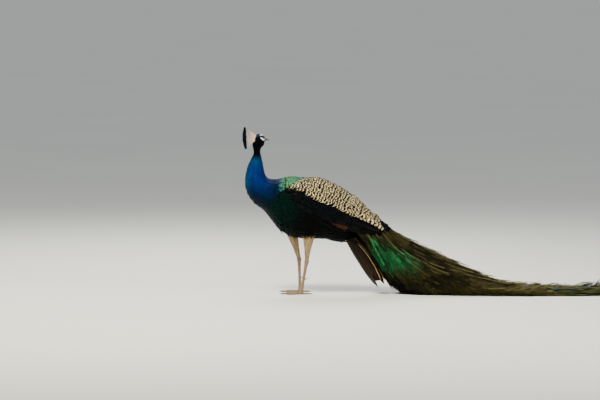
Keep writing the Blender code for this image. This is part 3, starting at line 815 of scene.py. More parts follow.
# %% [markdown]
# ## Neck, breast and belly
# The feathers are tiny below the head, narrow and glossy on the neck, broader on the breast, and dark
# and soft on the belly and flanks. Random places would lose the rows that a real coat shows. One table
# gives the distance between rows all the way, so the three tracts meet without a step, and the size of
# each feather follows from it.

# %% Borders of the wing and the mantle
BARRED_EDGE = np.array(
    (
        (-0.120, 0.520), (-0.074, 0.468), (-0.015, 0.455), (0.043, 0.420), (0.094, 0.408), (0.144, 0.385),
        (0.196, 0.354), (0.228, 0.336), (0.262, 0.341), (0.313, 0.312), (0.365, 0.280),
    )
)  # the lower border of the barred feathers, seen from the side
MANTLE_FRONT, COVERT_FRONT = -0.112, -0.078
MANTLE_AT, MANTLE_SLOPE = (-0.065, 0.469), 0.487  # a point and the slope of its lower border


def on_mantle(x, z):
    return (z > MANTLE_AT[1] + (x - MANTLE_AT[0]) * MANTLE_SLOPE) & (x > MANTLE_FRONT)


def on_wing(x, z):
    return ~under_line(x, z, WING_EDGE) & (x > COVERT_FRONT) & ~on_mantle(x, z)


# %% Lay the neck, breast and belly
ROW_GAPS = (
    (0.00, 0.0018), (0.04, 0.0021), (0.07, 0.0028), (0.11, 0.0038), (0.18, 0.0046), (0.30, 0.0054),
    (0.45, 0.0064), (0.70, 0.0070),
)
neck_keratin = feather_material("neck_feather_blue_keratin", 0.5, 0.45, 12, gloss=0.10)
body_keratin = feather_material("body_feather_dark_keratin", 0.5, 0.5, 12, gloss=0.10)


def body_tract(name, keep, form, finish, shape, rise, seed):
    """shape is length, width and thickness in row gaps."""
    roots = rows_of_roots(body_map, ROW_GAPS, keep, seed=9)
    tint = plumage_and_painted_light(roots["place"])
    gap = roots["gap"]
    size = (shape[0] * gap * np.clip(roots["stretch"], 0.5, 1.5), shape[1] * gap, shape[2] * gap)
    tints = (shaded(tint, 0.45), shaded(tint, 1.15))
    return lay(name, roots, form, finish, size, rise, tints, seed)


def neck_part(roots):
    x, y, z = local(roots["place"])
    return (x < -0.100) & (z < 0.652)


def belly_part(roots):
    x, y, z = local(roots["place"])
    return (x >= -0.102) & ~on_wing(x, z) & ~on_mantle(x, z)


body_tract("neck_feathers", neck_part, ROUNDED, neck_keratin, (3.5, 2.15, 0.13), 6, 3)
body_tract("belly_feathers", belly_part, POINTED, body_keratin, (4.0, 2.3, 0.12), 7, 5)

# %% [markdown]
# ## Vent
# Long, loose, dark brown feathers hang from the rump over the base of the tail. Hair would be softer,
# but wide leaves that lie across each other give the same soft mass with far fewer faces.

# %% Lay the vent feathers
def vent_part(roots):
    x, y, z = local(roots["place"])
    return (x > 0.165) & (np.abs(roots["t"]) > 0.80) & (np.abs(y) < 0.055)


vent = rows_of_roots(body_map, ((0.0, 0.0090),), vent_part, seed=15)
soot = all_of("#0d0a07", len(vent["s"]))
hang = np.tile((0.80, 0.0, -0.60), (len(vent["s"]), 1))
vent["lie"] = unit(hang - vent["normal"] * (hang * vent["normal"]).sum(1, keepdims=True) * 0.93)
lay(
    "vent_feathers", vent, POINTED, body_keratin, (0.050, 0.0200, 0.0012), 5,
    (soot, shaded(soot, 1.5)), 16, 0.15,
)

# %% [markdown]
# ## Mantle scales
# Between the shoulders lie short, broad feathers of golden green, each with a dark rim, so that the
# mantle looks scaled like a fish. A pattern in one skin would look flat. Laid feathers overlap for
# real.

# %% Lay the mantle
MANTLE_LIFT = 0.0012  # over the neck feathers that it meets
mantle_keratin = feather_material(
    "mantle_feather_green_keratin", 0.5, 0.42, 10, gloss=0.12, rim=("#08221a", 0.42), vary=0.3
)


def mantle_part(roots):
    x, y, z = local(roots["place"])
    return on_mantle(x, z) & (roots["normal"][:, 2] > -0.1)


mantle = rows_of_roots(body_map, ((0.0, 0.0080),), mantle_part, seed=6)
mantle["place"] = mantle["place"] + mantle["normal"] * MANTLE_LIFT
gold = smooth_step(MANTLE_FRONT, -0.080, local(mantle["place"])[0])
lay(
    "mantle_feathers", mantle, BROAD, mantle_keratin, (0.0190, 0.0145, 0.0007), 5,
    (
        mix_in(all_of("#042038", len(gold)), "#173d26", gold),
        mix_in(all_of("#06406a", len(gold)), "#4c8a58", gold),
    ),
    6,
)

# %% [markdown]
# ## The barred wing
# Scapulars and coverts are buff with wavy black bars. They grow in rows across the folded wing, which
# slopes down to its tip behind, so the wing has its own walk, from the shoulder to the tip. All
# feathers of a row show one bar, so that the bars join into waves about 13 mm apart.

# %% The walk along the folded wing
SHOULDER_TO_TIP = (
    (-0.085, 0.520, -0.125, 0.380), (-0.040, 0.512, -0.085, 0.360), (0.030, 0.502, -0.040, 0.340),
    (0.100, 0.490, 0.030, 0.310), (0.165, 0.460, 0.090, 0.285), (0.225, 0.420, 0.150, 0.270),
    (0.285, 0.370, 0.210, 0.260), (0.340, 0.322, 0.270, 0.240), (0.395, 0.280, 0.330, 0.210),
)
wing_map = survey(SKIN_TREE, SHOULDER_TO_TIP, 0.003, 0.22, sweep=118.0, inward=True)
WING_ROWS, COVERT_LENGTH, BARRED_LIFT = 0.0130, 0.034, 0.0015

# %% Lay the black and the barred coverts
def above_edge(places):
    x, y, z = local(places)
    return on_wing(x, z) & ~under_line(x, z, BARRED_EDGE) & (x < 0.350)


def barred_part(roots):
    tips = roots["place"] + unit(roots["lie"]) * COVERT_LENGTH * 1.05
    return above_edge(roots["place"]) & above_edge(tips)


def black_wing_part(roots):
    x, y, z = local(roots["place"])
    return on_wing(x, z) & ((x > 0.322) | under_line(x, z, BARRED_EDGE + np.array((0, 0.014))))


COVERT_BARS = ("#0d0905", 2.6, 0.9, 0.33, -0.62)
barred_keratin = feather_material(
    "wing_covert_barred_keratin", 0.0, 0.6, 9, gloss=0.2, bars=COVERT_BARS, vary=0.12
)
black_keratin = feather_material("wing_feather_black_keratin", 0.15, 0.42, 10, gloss=0.12)
black_wing = rows_of_roots(wing_map, ((0.0, 0.0115),), black_wing_part, aspect=1.1, seed=8)
at_tip = smooth_step(0.30, 0.34, local(black_wing["place"])[0])
ink = all_of("#040506", len(black_wing["s"]))
lay(
    "black_wing_coverts", black_wing, BROAD, black_keratin, (0.032 - 0.012 * at_tip, 0.0205, 0.0007), 3,
    (ink, mix_in(ink, "#080b0d", np.full(len(ink), 0.6))), 8,
)
barred = rows_of_roots(wing_map, ((0.0, WING_ROWS),), barred_part, aspect=0.85, jitter=0.11, seed=7)
barred = take(barred, unit(barred["lie"])[:, 0] > 0.30)
barred["place"] = barred["place"] + barred["normal"] * BARRED_LIFT
buff = all_of("#e2d09c", len(barred["s"]))
lay(
    "barred_wing_coverts", barred, BROAD, barred_keratin, (COVERT_LENGTH, 0.0165, 0.0008), 5,
    (shaded(buff, 0.8), buff), 7, 0.05, 0.10,
)

# %% [markdown]
# ## Long feathers
# The quills of the wing and the tail are too long to repeat one stiff form, for each follows the curve
# of what it lies on. Each is swept along its own line: a keeled vane with a thick shaft in its middle,
# thin edges and a rounded tip, closed all round, with the same vane map as the small ones. One sweep
# serves them and the thin round shafts of the train and the crest, and only the cross-section differs.

# %% A line on a map, and the dressing of a swept piece
VANE_STEPS = 16
TIP_FROM = 0.86  # share of the length where the tip starts to round off


def path_on(chart, start, end, steps, bow=0.0):
    """Points and outward normals of a line on a map, from one (s, t) to another, bowed sideways in t."""
    share = np.linspace(0, 1, steps)
    s = start[0] + (end[0] - start[0]) * share
    t = start[1] + (end[1] - start[1]) * share + bow * np.sin(share * math.pi)
    return on_map(chart, s, t), unit(on_map(chart, s, t, "normal"))


def dressed(name, points, faces, spread, owner, tints, count, finish):
    """Makes the swept mesh, with its colours, its vane map and its feather map."""
    piece = solid_object(name, points, faces)
    for index, key in enumerate(("root_tint", "tip_tint")):
        layer = piece.data.attributes.new(key, "FLOAT_COLOR", "POINT")
        layer.data.foreach_set("color", np.array([pair[index] for pair in tints], np.float32).ravel())
    cells, patch = bake_cells(np.arange(count), np.zeros(count))
    corner = np.empty(len(piece.data.loops), int)
    piece.data.loops.foreach_get("vertex_index", corner)
    across = np.array(spread)[corner]
    mapped = cells[np.array(owner)[corner], :2] + across * np.array(patch[:2])
    for key, values in (("vane", across), ("OFBake", mapped)):
        layer = piece.data.uv_layers.new(name=key)
        layer.data.foreach_set("uv", values.astype(np.float32).ravel())
    piece.data.materials.append(finish)
    return finish_tract(piece, count)


# %% Sweep a cross-section along lines
def sweep(name, lines, section, sides, finish, slot):
    """Each line is (points, normals, measures of the section, root tint, tip tint). section gives each
    of its corners as metres sideways and outwards, and where it lies across the vane."""
    points, faces, spread, owner, tints = [], [], [], [], []
    for number, (line, outward, *measures, root, tip) in enumerate(lines):
        along = unit(np.gradient(line, axis=0))
        up = unit(outward - along * (outward * along).sum(1, keepdims=True))
        side, first = np.cross(up, along), len(points)
        for i, share in enumerate(np.linspace(0, 1, len(line))[:-1]):
            for sideways, over, across in section(share, *measures):
                points.append(line[i] + side[i] * sideways + up[i] * over)
                spread.append((across, share))
        points.append(line[-1])
        spread.append((0.5, 1.0))
        faces += tube_faces(first, len(line) - 1, sides)
        owner += [number] * (len(points) - first)
        tints += [(root, tip)] * (len(points) - first)
    return dressed(name, points, faces, spread, owner, tints, len(lines), finish)


def sweep_vanes(name, quills, finish, slot, tip_from=TIP_FROM):
    """The measures are the left width, the right width and the thickness."""

    def section(share, left, right, thick):
        over = max(share - tip_from, 0.0) / (1 - tip_from)
        wide = (0.35 + 0.65 * min(share / 0.3, 1.0) ** 0.7) * math.sqrt(1 - over**2)
        low, high, ridge = -thick * 0.3, thick * 0.3, thick * (1.3 - 0.8 * share)
        return (
            (left * wide, low, 0.0), (left * wide * 0.5, high, 0.25), (0.0, ridge, 0.5),
            (-right * wide * 0.5, high, 0.75), (-right * wide, low, 1.0), (0.0, -thick * 0.5, 0.5),
        )

    return sweep(name, quills, section, 6, finish, slot)


def sweep_rods(name, rods, finish, slot):
    """The measures are the radius at the root and the radius at the tip."""

    def section(share, thick, thin):
        r = thin + (thick - thin) * (1 - share) ** 1.6
        return (r, 0.0, 0.0), (0.0, r, 0.25), (-r, 0.0, 0.5), (0.0, -r, 0.75)

    return sweep(name, rods, section, 4, finish, slot)


def nearest_on(chart, x, z, turn):
    """The s and t of the map whose place, seen from the side, is nearest to x and z."""
    px, _, pz = local(chart["place"].reshape(-1, 3))
    away = (px - x) ** 2 + (pz - z) ** 2 + (chart["found"].ravel() < 1)
    away = away.reshape(chart["steps"], COLUMNS)
    half = COLUMNS // 2
    away[:, half + 1 :] += turn < 0
    away[:, :half] += turn > 0
    i, k = np.unravel_index(np.argmin(away), away.shape)
    return i * chart["pace"], k / (COLUMNS - 1) * 2 - 1


def one_tint(hexcode, factor=1.0):
    return tuple(shaded(all_of(hexcode, 1), factor)[0])


# %% [markdown]
# The flight feathers of the folded wing fan out from the wrist. The black secondaries show as long
# bands below the barred coverts, the barred tertials cap the wing and reach its tip, and a sliver of
# the chestnut primaries shows under the lower edge.

# %% Secondaries, tertials and primaries of both wings
dice = np.random.default_rng(11)
SECONDARY_TIPS = (
    (0.200, 0.288), (0.225, 0.282), (0.250, 0.274), (0.275, 0.270), (0.298, 0.267), (0.315, 0.268),
    (0.330, 0.270), (0.343, 0.273), (0.354, 0.276),
)
SECONDARY_ROOTS = ((0.000, 0.385), (0.150, 0.372))
TERTIAL_TIPS = (
    (0.250, 0.352), (0.282, 0.336), (0.310, 0.318), (0.330, 0.303), (0.345, 0.292), (0.360, 0.281),
)
TERTIAL_ROOTS = ((0.110, 0.415), (0.230, 0.378))
PRIMARY_TIPS = ((0.160, 0.291), (0.180, 0.284), (0.200, 0.278))
PRIMARY_ROOTS = ((0.085, 0.323), (0.110, 0.318))
WING_VANE_THICK, LAYER_STEP = 0.0006, 0.0005


def wing_quills(roots, tips, half, lift, hexcodes):
    """Quills of both wings. Each rises from under the coverts to its lift over the skin."""
    quills = []
    for turn in (-1, 1):
        for i, tip in enumerate(tips):
            share = i / (len(tips) - 1)
            root = [a + (b - a) * share for a, b in zip(*roots)]
            start, end = nearest_on(wing_map, *root, turn), nearest_on(wing_map, *tip, turn)
            line, outward = path_on(wing_map, start, end, VANE_STEPS)
            rise = np.minimum(np.linspace(-0.45, 1.5, VANE_STEPS), 1)[:, None] * (lift + LAYER_STEP * i)
            tone = dice.uniform(0.8, 1.2)
            quills.append(
                (
                    line + outward * rise, outward, half, half, WING_VANE_THICK,
                    one_tint(hexcodes[0], tone), one_tint(hexcodes[1], tone),
                )
            )
    return quills


secondary_keratin = feather_material(
    "secondary_quill_black_keratin", 0.0, 0.5, 60, gloss=0.12, shaft="#12100d", vary=0.3
)
tertial_keratin = feather_material(
    "tertial_barred_keratin", 0.0, 0.6, 50, gloss=0.2, bars=("#120d07", 10.0, 0.08, 0.24, 0.0), vary=0.12
)
primary_keratin = feather_material(
    "primary_quill_chestnut_keratin", 0.0, 0.6, 60, gloss=0.15, shaft="#1c100a"
)
sweep_vanes(
    "primaries", wing_quills(PRIMARY_ROOTS, PRIMARY_TIPS, 0.0085, 0.0045, ("#2c170b", "#3a1f0f")),
    primary_keratin, "primary_feather",
)
sweep_vanes(
    "secondaries", wing_quills(SECONDARY_ROOTS, SECONDARY_TIPS, 0.0120, 0.0015, ("#050505", "#070605")),
    secondary_keratin, "wing_feather",
)
sweep_vanes(
    "tertials", wing_quills(TERTIAL_ROOTS, TERTIAL_TIPS, 0.0110, 0.0035, ("#cbb588", "#d9c395")),
    tertial_keratin, "wing_feather",
)

# %% [markdown]
# ## The tail under the train
# The true tail is a fan of about twenty stiff brown feathers with pale shafts that props up the train.
# Folded, it slopes from the rump to the ground. The quills lie round the tail bed, the outer ones on
# the flanks, where their shafts show as long pale lines.

# %% The walk along the tail, and its quills
TAIL_BASE_TO_TIP = (
    (0.2065, 0.2833, 0.1735, 0.2607), (0.2434, 0.2447, 0.2006, 0.2153), (0.2875, 0.1896, 0.2365, 0.1544),
    (0.3292, 0.1327, 0.2748, 0.0953), (0.3575, 0.0856, 0.3065, 0.0504), (0.3700, 0.0540, 0.3290, 0.0260),
)
TAIL_BED_FOOT, TAIL_BED_DRAWN = 0.085, (0.40, 0.55)  # height, then how far forward and up it is drawn
tail_map = survey(tree_of(tail_bed), TAIL_BASE_TO_TIP, 0.003, 0.15)
bed_points = mesh_points(tail_bed)
low = np.maximum(TAIL_BED_FOOT - bed_points[:, 2], 0.0)  # the bed stops short of the quills
bed_points[:, 0] -= TAIL_BED_DRAWN[0] * low
bed_points[:, 2] += TAIL_BED_DRAWN[1] * low
move_points(tail_bed, bed_points)
TAIL_LENGTH = (tail_map["steps"] - 4) * tail_map["pace"]
TAIL_ROUND = (0.0, 0.14, 0.27, 0.39, 0.50, 0.61, 0.73, 0.86)  # the share round at which quills lie
TAIL_PAST = 0.016  # metres by which the quills outreach the bed of the tail
PALE_QUILLS = ((1, 2), (1, 3))  # layer and place of the quills whose pale shafts show on each flank
PALE_HALF, PALE_LIFT, TAIL_HALVES, TAIL_VANE_THICK = 0.0032, 0.0075, (0.0150, 0.0110), 0.0008
quills, pale_quills = [], []
for turn in (-1, 1):
    for layer, lift in ((0, 0.0006), (1, 0.0026), (2, 0.0085)):
        for i, share in enumerate(TAIL_ROUND[: 2 if layer == 2 else None]):
            t = turn * min(share + 0.055 * layer * (layer < 2), 0.97)
            start = (0.002 + 0.035 * (layer == 1), t * 0.96)
            end = (TAIL_LENGTH * (0.90 + 0.10 * math.cos(i * 2.1 + layer * 1.3)), t)
            pale = (layer, i) in PALE_QUILLS
            bow = (-0.10 if pale else 0.02) * turn
            line, outward = path_on(tail_map, start, end, VANE_STEPS, bow)
            rise = np.linspace(0.3, 1, VANE_STEPS)[:, None] * (PALE_LIFT if pale else lift)
            past = np.linspace(0, 1, VANE_STEPS)[:, None] ** 3 * TAIL_PAST
            line = line + (line[-1] - line[-2]) / np.linalg.norm(line[-1] - line[-2]) * past
            tone = dice.uniform(0.75, 1.25)
            (pale_quills if pale else quills).append(
                (
                    line + outward * rise, outward, PALE_HALF if pale else TAIL_HALVES[0],
                    PALE_HALF if pale else TAIL_HALVES[1], TAIL_VANE_THICK,
                    one_tint("#7d6743" if pale else "#1c130b", tone),
                    one_tint("#94794e" if pale else "#2a1d11", tone),
                )
            )
tail_keratin = feather_material(
    "tail_quill_brown_keratin", 0.0, 0.5, 90, gloss=0.15, shaft="#33261a", vary=0.35
)
pale_keratin = feather_material(
    "tail_quill_pale_keratin", 0.0, 0.5, 90, gloss=0.15, shaft="#d8bd84", vary=0.3
)
sweep_vanes("tail_quills", quills, tail_keratin, "tail_feather")
sweep_vanes("tail_pale_quills", pale_quills, pale_keratin, "tail_feather")

# %% [markdown]
# ## Thighs
# Short buff feathers cover the upper leg down to the heel. They lie close and end in a loose fringe. A
# leg is off the walk along the back, so its roots are found by looking outwards from the leg's own
# axis.

# %% Feathers of the thighs
THIGHS = {
    "left": (-0.050, (0.034, 0.262), (0.024, 0.142)),
    "right": (0.050, (-0.042, 0.272), (-0.008, 0.144)),
}  # y of the leg, then x and z of its top and of its heel
THIGH_RADIUS, THIGH_ROWS, THIGH_ROUND, THIGH_REACH = 0.018, 0.0052, 0.0062, 0.033
THIGH_FOOT, THIGH_HEAD = 0.150, 0.285
thigh_keratin = feather_material("thigh_feather_buff_keratin", 0.0, 0.65, 8, gloss=0.12, vary=0.2)


def cylinder_roots(middle, top, foot, gap, round_gap, reach, seed):
    """Roots in rings round a limb, found by looking outwards from its axis to all sides."""
    dice = np.random.default_rng(seed)
    axis = np.array(foot) - np.array(top)
    length = np.linalg.norm(axis)
    axis = axis / length
    across = unit(np.cross(axis, (0.0, 1.0, 0.0)))
    other = np.cross(axis, across)
    found = []
    for row, s in enumerate(np.arange(0.002, length, gap)):
        centre = np.array(top) + axis * s
        count = int(2 * math.pi * middle / round_gap)
        for k in range(count):
            angle = 2 * math.pi * (k + 0.5 * (row % 2) + dice.normal(0, 0.1)) / count
            out = across * math.cos(angle) + other * math.sin(angle)
            hit, facing, _, _ = SKIN_TREE.ray_cast(Vector(centre), Vector(out), reach)
            if hit is not None:
                found.append((hit, facing, axis, s, angle))
    return roots_of(found)


for side_name, (y, top, ankle) in THIGHS.items():
    limb = at(top[0], y, top[1]), at(ankle[0], y, ankle[1])
    roots = cylinder_roots(THIGH_RADIUS, *limb, THIGH_ROWS, THIGH_ROUND, THIGH_REACH, 21)
    z = local(roots["place"])[2]
    roots = take(roots, (z < THIGH_HEAD) & (z > THIGH_FOOT))
    tint = plumage_and_painted_light(roots["place"] - np.array((0, 0, 0.014)))  # its colour is that of its tip
    lay(
        f"thigh_feathers_{side_name}", roots, POINTED, thigh_keratin,
        (0.0165, 0.0090, 0.0008), 7, (shaded(tint, 0.8), shaded(tint, 1.15)), 22,
    )


# %% [markdown]
# ## The train
# The train is about 150 to 200 very long upper tail coverts. Each has a pale shaft with loose, bronze
# green barbs, and many end in an eye. They lie in layers, the short ones over the long ones. They run
# back from the rump, slide down the flanks of the train to the ground, and then lie flat on it. A train
# could be one shell with a printed pattern, but it lives by its depth, so every feather is built.

# %% The walk along the train
TRAIN_TABLE = (
    (0.215, 0.427, 0.288), (0.270, 0.383, 0.214), (0.330, 0.328, 0.116), (0.400, 0.274, 0.030),
    (0.500, 0.220, 0.0), (0.620, 0.160, 0.0), (0.750, 0.098, 0.0), (0.880, 0.046, 0.0),
    (1.050, 0.028, 0.0), (1.250, 0.023, 0.0), (1.430, 0.018, 0.0), (1.550, 0.012, 0.0),
    (1.590, 0.010, 0.0),
)  # x, then the heights of the top and the foot of the train
BED_NARROWER = ((0.20, 0.75, 1.10), (0.32, 1.20, 1.48))  # by what share, and between which x
BED_END, BED_SHORTER = 1.20, 0.22  # behind this x, the bed is shorter by this share
train_map = survey(tree_of(train_bed), [(x, top, x, low) for x, top, low in TRAIN_TABLE], 0.005, 0.4)
TRAIN_LENGTH = (train_map["steps"] - 4) * train_map["pace"]
bed_points = mesh_points(train_bed)  # behind, the bed stops short of the ends of the feathers
back, width = bed_points[:, 0] - SHIFT, 1.0
for share, start, stop in BED_NARROWER:
    width -= share * smooth_step(start, stop, back)
bed_points[:, 1] *= width
bed_points[:, 0] -= BED_SHORTER * np.maximum(back - BED_END, 0.0)
move_points(train_bed, bed_points)


def train_tint_and_shade(places):
    """Colour of the train's barbs: bronze on top, emerald near the rump, olive behind, and painted shade
    low down under the rump.
    """
    x, y, z = local(places)
    colour = all_of("#3a371c", len(x))
    colour = mix_in(colour, "#6b6030", smooth_step(0.32, 0.38, z + (x - 0.33) * 0.50))
    emerald = smooth_step(0.28, 0.31, x) * (1 - smooth_step(0.44, 0.53, x))
    emerald = emerald * (1 - smooth_step(0.225, 0.265, z + (x - 0.33) * 0.45))
    emerald = emerald * smooth_step(0.10, 0.15, z)
    patchy = 0.55 + 0.45 * np.sin(x * 310 + z * 170) * np.sin(z * 230 - x * 120 + y * 90)
    colour = mix_in(colour, "#0a8c50", emerald * patchy)
    # Painted shade: low down near the ground, under the rump and the body, the train is darkened almost
    # to black.
    low = (1 - smooth_step(0.03, 0.13, z)) * (1 - smooth_step(0.44, 0.56, x))
    colour = mix_in(colour, "#0b0a06", low * 0.9)
    colour = mix_in(colour, "#6a6232", smooth_step(0.55, 0.80, x) * 0.6)
    return mix_in(colour, "#2c5a3a", smooth_step(0.95, 1.15, x) * 0.45)


# %% [markdown]
# The short coverts at the rump are like scales, and grade into the long ones. They are laid as small
# feathers, under a fringe of loose barbs.

# %% Scales at the root of the train
COVERTS_END, FRINGE_END = 0.42, 0.36  # s on the map of the train
FRINGE_FROM = 0.78  # share of the way round


def root_cover(roots):
    return roots["s"] < COVERTS_END


covert_keratin = feather_material(
    "train_covert_bronze_keratin", 0.4, 0.45, 16, gloss=0.2, rim=("#0b0a05", 0.38), vary=0.35
)
scales = rows_of_roots(train_map, ((0.0, 0.0135),), root_cover, aspect=1.1, seed=31)
tint = train_tint_and_shade(scales["place"])
lay(
    "train_root_coverts", scales, POINTED, covert_keratin, (0.055, 0.0230, 0.0010), 6,
    (shaded(tint, 0.3), shaded(tint, 0.8)), 32, 0.12, 0.4,
)


def under_part(roots):
    return (np.abs(roots["t"]) > FRINGE_FROM) & (roots["s"] < FRINGE_END)


fringe = rows_of_roots(train_map, ((0.0, 0.0095),), under_part, aspect=0.9, seed=33)
umber = all_of("#0f0b07", len(fringe["s"]))
lay(
    "train_under_coverts", fringe, POINTED, body_keratin, (0.070, 0.0130, 0.0010), 8,
    (umber, shaded(umber, 2.0)), 34, 0.2, 0.4,
)

# %% [markdown]
# Each long feather is a line on the map of the train. It ends at its tip on the surface and sinks a
# little towards its root, under the tips of the shorter ones. Towards the ground the lines slide down
# and outwards. A few stand off the rest at their ends. The shaft is swept as a thin tapered rod, and
# the barbs are laid on it one by one.

# %% Lines of the long feathers
dice = np.random.default_rng(41)
SHAFT_STEPS, STREAMERS = 26, 150
BARB_GAP, BARB_ANGLE = 0.0045, 33.0
TRAIN_PAST = 0.016  # metres by which the hindmost feathers outreach the bed
TIP_SUNK, ROOT_SUNK, SHAFT_ABOVE_FLOOR = 0.0015, 0.0050, 0.0016
FEATHER_APART = 0.040  # metres between neighbours of a row
LOOSE_LIFT = 0.0042  # of the loose feathers over the others
TRAIN_SIDE = ((0.0, 0.97), (0.34, 0.97), (0.48, 0.80), (0.62, 0.60), (0.75, 0.56), (1.6, 0.56))


def slide(s):
    """How far down the flank a feather has slid by that place, as a share of the way round."""
    return 0.62 * smooth_step(0.02, 0.62, s)


def train_line(s_tip, t_tip, length, stand, over=0.0):
    """s, t, places and normals of a shaft. stand and over lift its end and its outer half, in metres."""
    s = np.linspace(max(s_tip - length, 0.004), s_tip, SHAFT_STEPS)
    slid = slide(s_tip) - slide(s)
    t = np.sign(t_tip) * np.clip(np.abs(t_tip) * (1 - 0.75 * slid) - 0.50 * slid, 0.0, 1.0)
    t = t + dice.normal(0, 0.012) + 0.02 * np.sin(s * 9 + dice.uniform(0, 6))
    place, normal = on_map(train_map, s, t), unit(on_map(train_map, s, t, "normal"))
    under = ROOT_SUNK * (1 - np.exp(-(s_tip - s) / 0.14))
    off = stand * np.clip(1 - (s_tip - s) / 0.10, 0, 1) ** 2
    above = over * np.clip(np.linspace(-0.9, 2.6, SHAFT_STEPS), -1, 1)
    place = place + normal * (TRAIN_COAT - TIP_SUNK - under + above)[:, None]
    place = place + np.array((0, 0, 1)) * off[:, None]
    beyond = TRAIN_PAST * smooth_step(TRAIN_LENGTH - 0.16, TRAIN_LENGTH, s_tip)
    place += unit(place[-1] - place[-3]) * (beyond * np.linspace(0, 1, SHAFT_STEPS)[:, None] ** 3)
    place[:, 2] = np.maximum(place[:, 2], SHAFT_ABOVE_FLOOR)
    return s, t, place, normal


feathers = []
s_tip, row = 0.08, 0
while s_tip < TRAIN_LENGTH - 0.004:
    ring = train_map["place"][int(s_tip / train_map["pace"])]
    arc = np.linalg.norm(np.diff(ring, axis=0), axis=1).sum()
    widest = np.interp(s_tip, *zip(*TRAIN_SIDE))
    count = max(5, int(arc * widest / FEATHER_APART))
    for k in range(count):
        t_tip = widest * (-1 + 2 * (k + 0.25 + 0.5 * (row % 2)) / count)
        s_here = s_tip + dice.normal(0, 0.010)
        length = 0.16 + 0.20 * smooth_step(0.1, 0.7, s_here)
        stand = dice.choice((0.0, 0.0, 0.004, 0.010)) * (1 + 1.5 * smooth_step(0.9, 1.2, s_here))
        feathers.append((s_here, t_tip, *train_line(s_here, t_tip, length, stand)))
    s_tip += 0.036 + 0.012 * smooth_step(0.3, 0.9, s_tip)
    row += 1

# Narrow, pale feathers lie loose over the others, and their ends stand off like spikes.
streamers = []
for k in range(STREAMERS):
    s_here = 0.10 + (TRAIN_LENGTH - 0.16) * (k + dice.uniform(0, 1)) / STREAMERS
    t_tip = np.interp(s_here, *zip(*TRAIN_SIDE)) * dice.uniform(-0.9, 0.9) * dice.choice((0.3, 0.7, 1.0))
    length = dice.uniform(0.14, 0.26)
    stand = dice.uniform(0.004, 0.013)
    streamers.append((s_here, t_tip, *train_line(s_here, t_tip, length, stand, LOOSE_LIFT)))
print(len(feathers), "long feathers in", row, "rows and", len(streamers), "loose ones")

# %% Shafts of the train
SHAFT_RADII = (0.0017, 0.0007)
rods = []
for s_here, _, _, _, place, normal in feathers + streamers:
    tone = dice.uniform(0.5, 1.2)
    near = 1 - smooth_step(0.25, 0.5, s_here) * 0.6
    rods.append(
        (
            place, normal, *SHAFT_RADII, one_tint("#9a8960", tone * (1 - 0.6 * near)),
            one_tint("#8c7c50", tone * (1 - 0.5 * near)),
        )
    )
shaft_keratin = feather_material("train_shaft_pale_keratin", 0.0, 0.5, 20, vary=0.2)
sweep_rods("train_shafts", rods, shaft_keratin, "train_feather")

# %% Barbs along the shafts
barbs = {key: [] for key in ("place", "normal", "lie", "s", "t", "length", "tone", "turn")}
for number, (s_here, _, s, t, place, normal) in enumerate(feathers + streamers):
    narrow = number >= len(feathers)
    gone = gone_along(place)
    marks = np.arange(gone[-1] * (0.18 if narrow else 0.12), gone[-1] - 0.002, BARB_GAP)
    here, out = read_off(marks, gone, place), unit(read_off(marks, gone, normal))
    ahead = unit(read_off(marks, gone, np.gradient(place, axis=0)))
    side = np.cross(out, ahead)
    left = gone[-1] - marks
    size = 0.015 if narrow else 0.034 + 0.022 * smooth_step(0.2, 0.8, s_here)
    length = size * np.clip(0.45 + left / 0.05, 0.45, 1.0) * dice.uniform(0.8, 1.2, len(marks))
    spread = (0.5 if narrow else 1.0) * np.clip(0.55 + left / 0.10, 0.55, 1.0)
    angle = np.radians(BARB_ANGLE * spread + dice.normal(0, 4, len(marks)))
    feather_tone = (1.9 if narrow else dice.choice((0.2, 0.4, 0.8, 1.3))) * dice.uniform(0.85, 1.15)
    for turn in (-1, 1):
        barbs["place"].append(here)
        barbs["normal"].append(out)
        barbs["lie"].append(ahead * np.cos(angle)[:, None] + side * (turn * np.sin(angle))[:, None])
        barbs["s"].append(np.interp(marks, gone, s))
        barbs["t"].append(np.interp(marks, gone, t))
        barbs["length"].append(length)
        barbs["tone"].append(np.full(len(marks), feather_tone))
        barbs["turn"].append(np.full(len(marks), turn))
barbs = {key: np.concatenate(values) for key, values in barbs.items()}
print(len(barbs["s"]), "barbs")
barb_keratin = feather_material("train_barb_bronze_keratin", 0.4, 0.45, 3, gloss=0.2, vary=0.3)
BARBS_TO_A_PIECE = 12000  # keeps each piece under 200 000 triangles
BARB_SIZE = (0.0022, 0.0010)  # width and thickness of one barb, which stands for a lock of several
for turn, form, label in ((1, BARB_LEFT, "left"), (-1, BARB_RIGHT, "right")):
    members = np.flatnonzero(barbs["turn"] == turn)
    members = members[np.argsort(barbs["s"][members], kind="stable")]
    for part, chosen in enumerate(np.array_split(members, math.ceil(len(members) / BARBS_TO_A_PIECE))):
        some = take(barbs, chosen)
        tint = shaded(train_tint_and_shade(some["place"]), some["tone"])
        lay(
            f"train_barbs_{label}_{part + 1}", some, form, barb_keratin,
            (some["length"], *BARB_SIZE), 3, (shaded(tint, 0.7), tint), 50 + part, 0.04,
        )


# %% [markdown]
# ## Eyes of the train
# Each eye is a flat disc of barbs: a dark blue heart with a notch towards the tip, in a turquoise
# field, in a broad copper ring, with thin gold and green rings outside. The rings are drawn from the
# distance to the middle on the disc's own map. There are none near the rump. Further back they are few
# and small, and behind they are full size. The form is made once and laid by the same node tree.

# %% Form of an eye
EYE_ROUND_STEPS, EYE_BANDS = 24, (0.30, 0.62, 1.0)


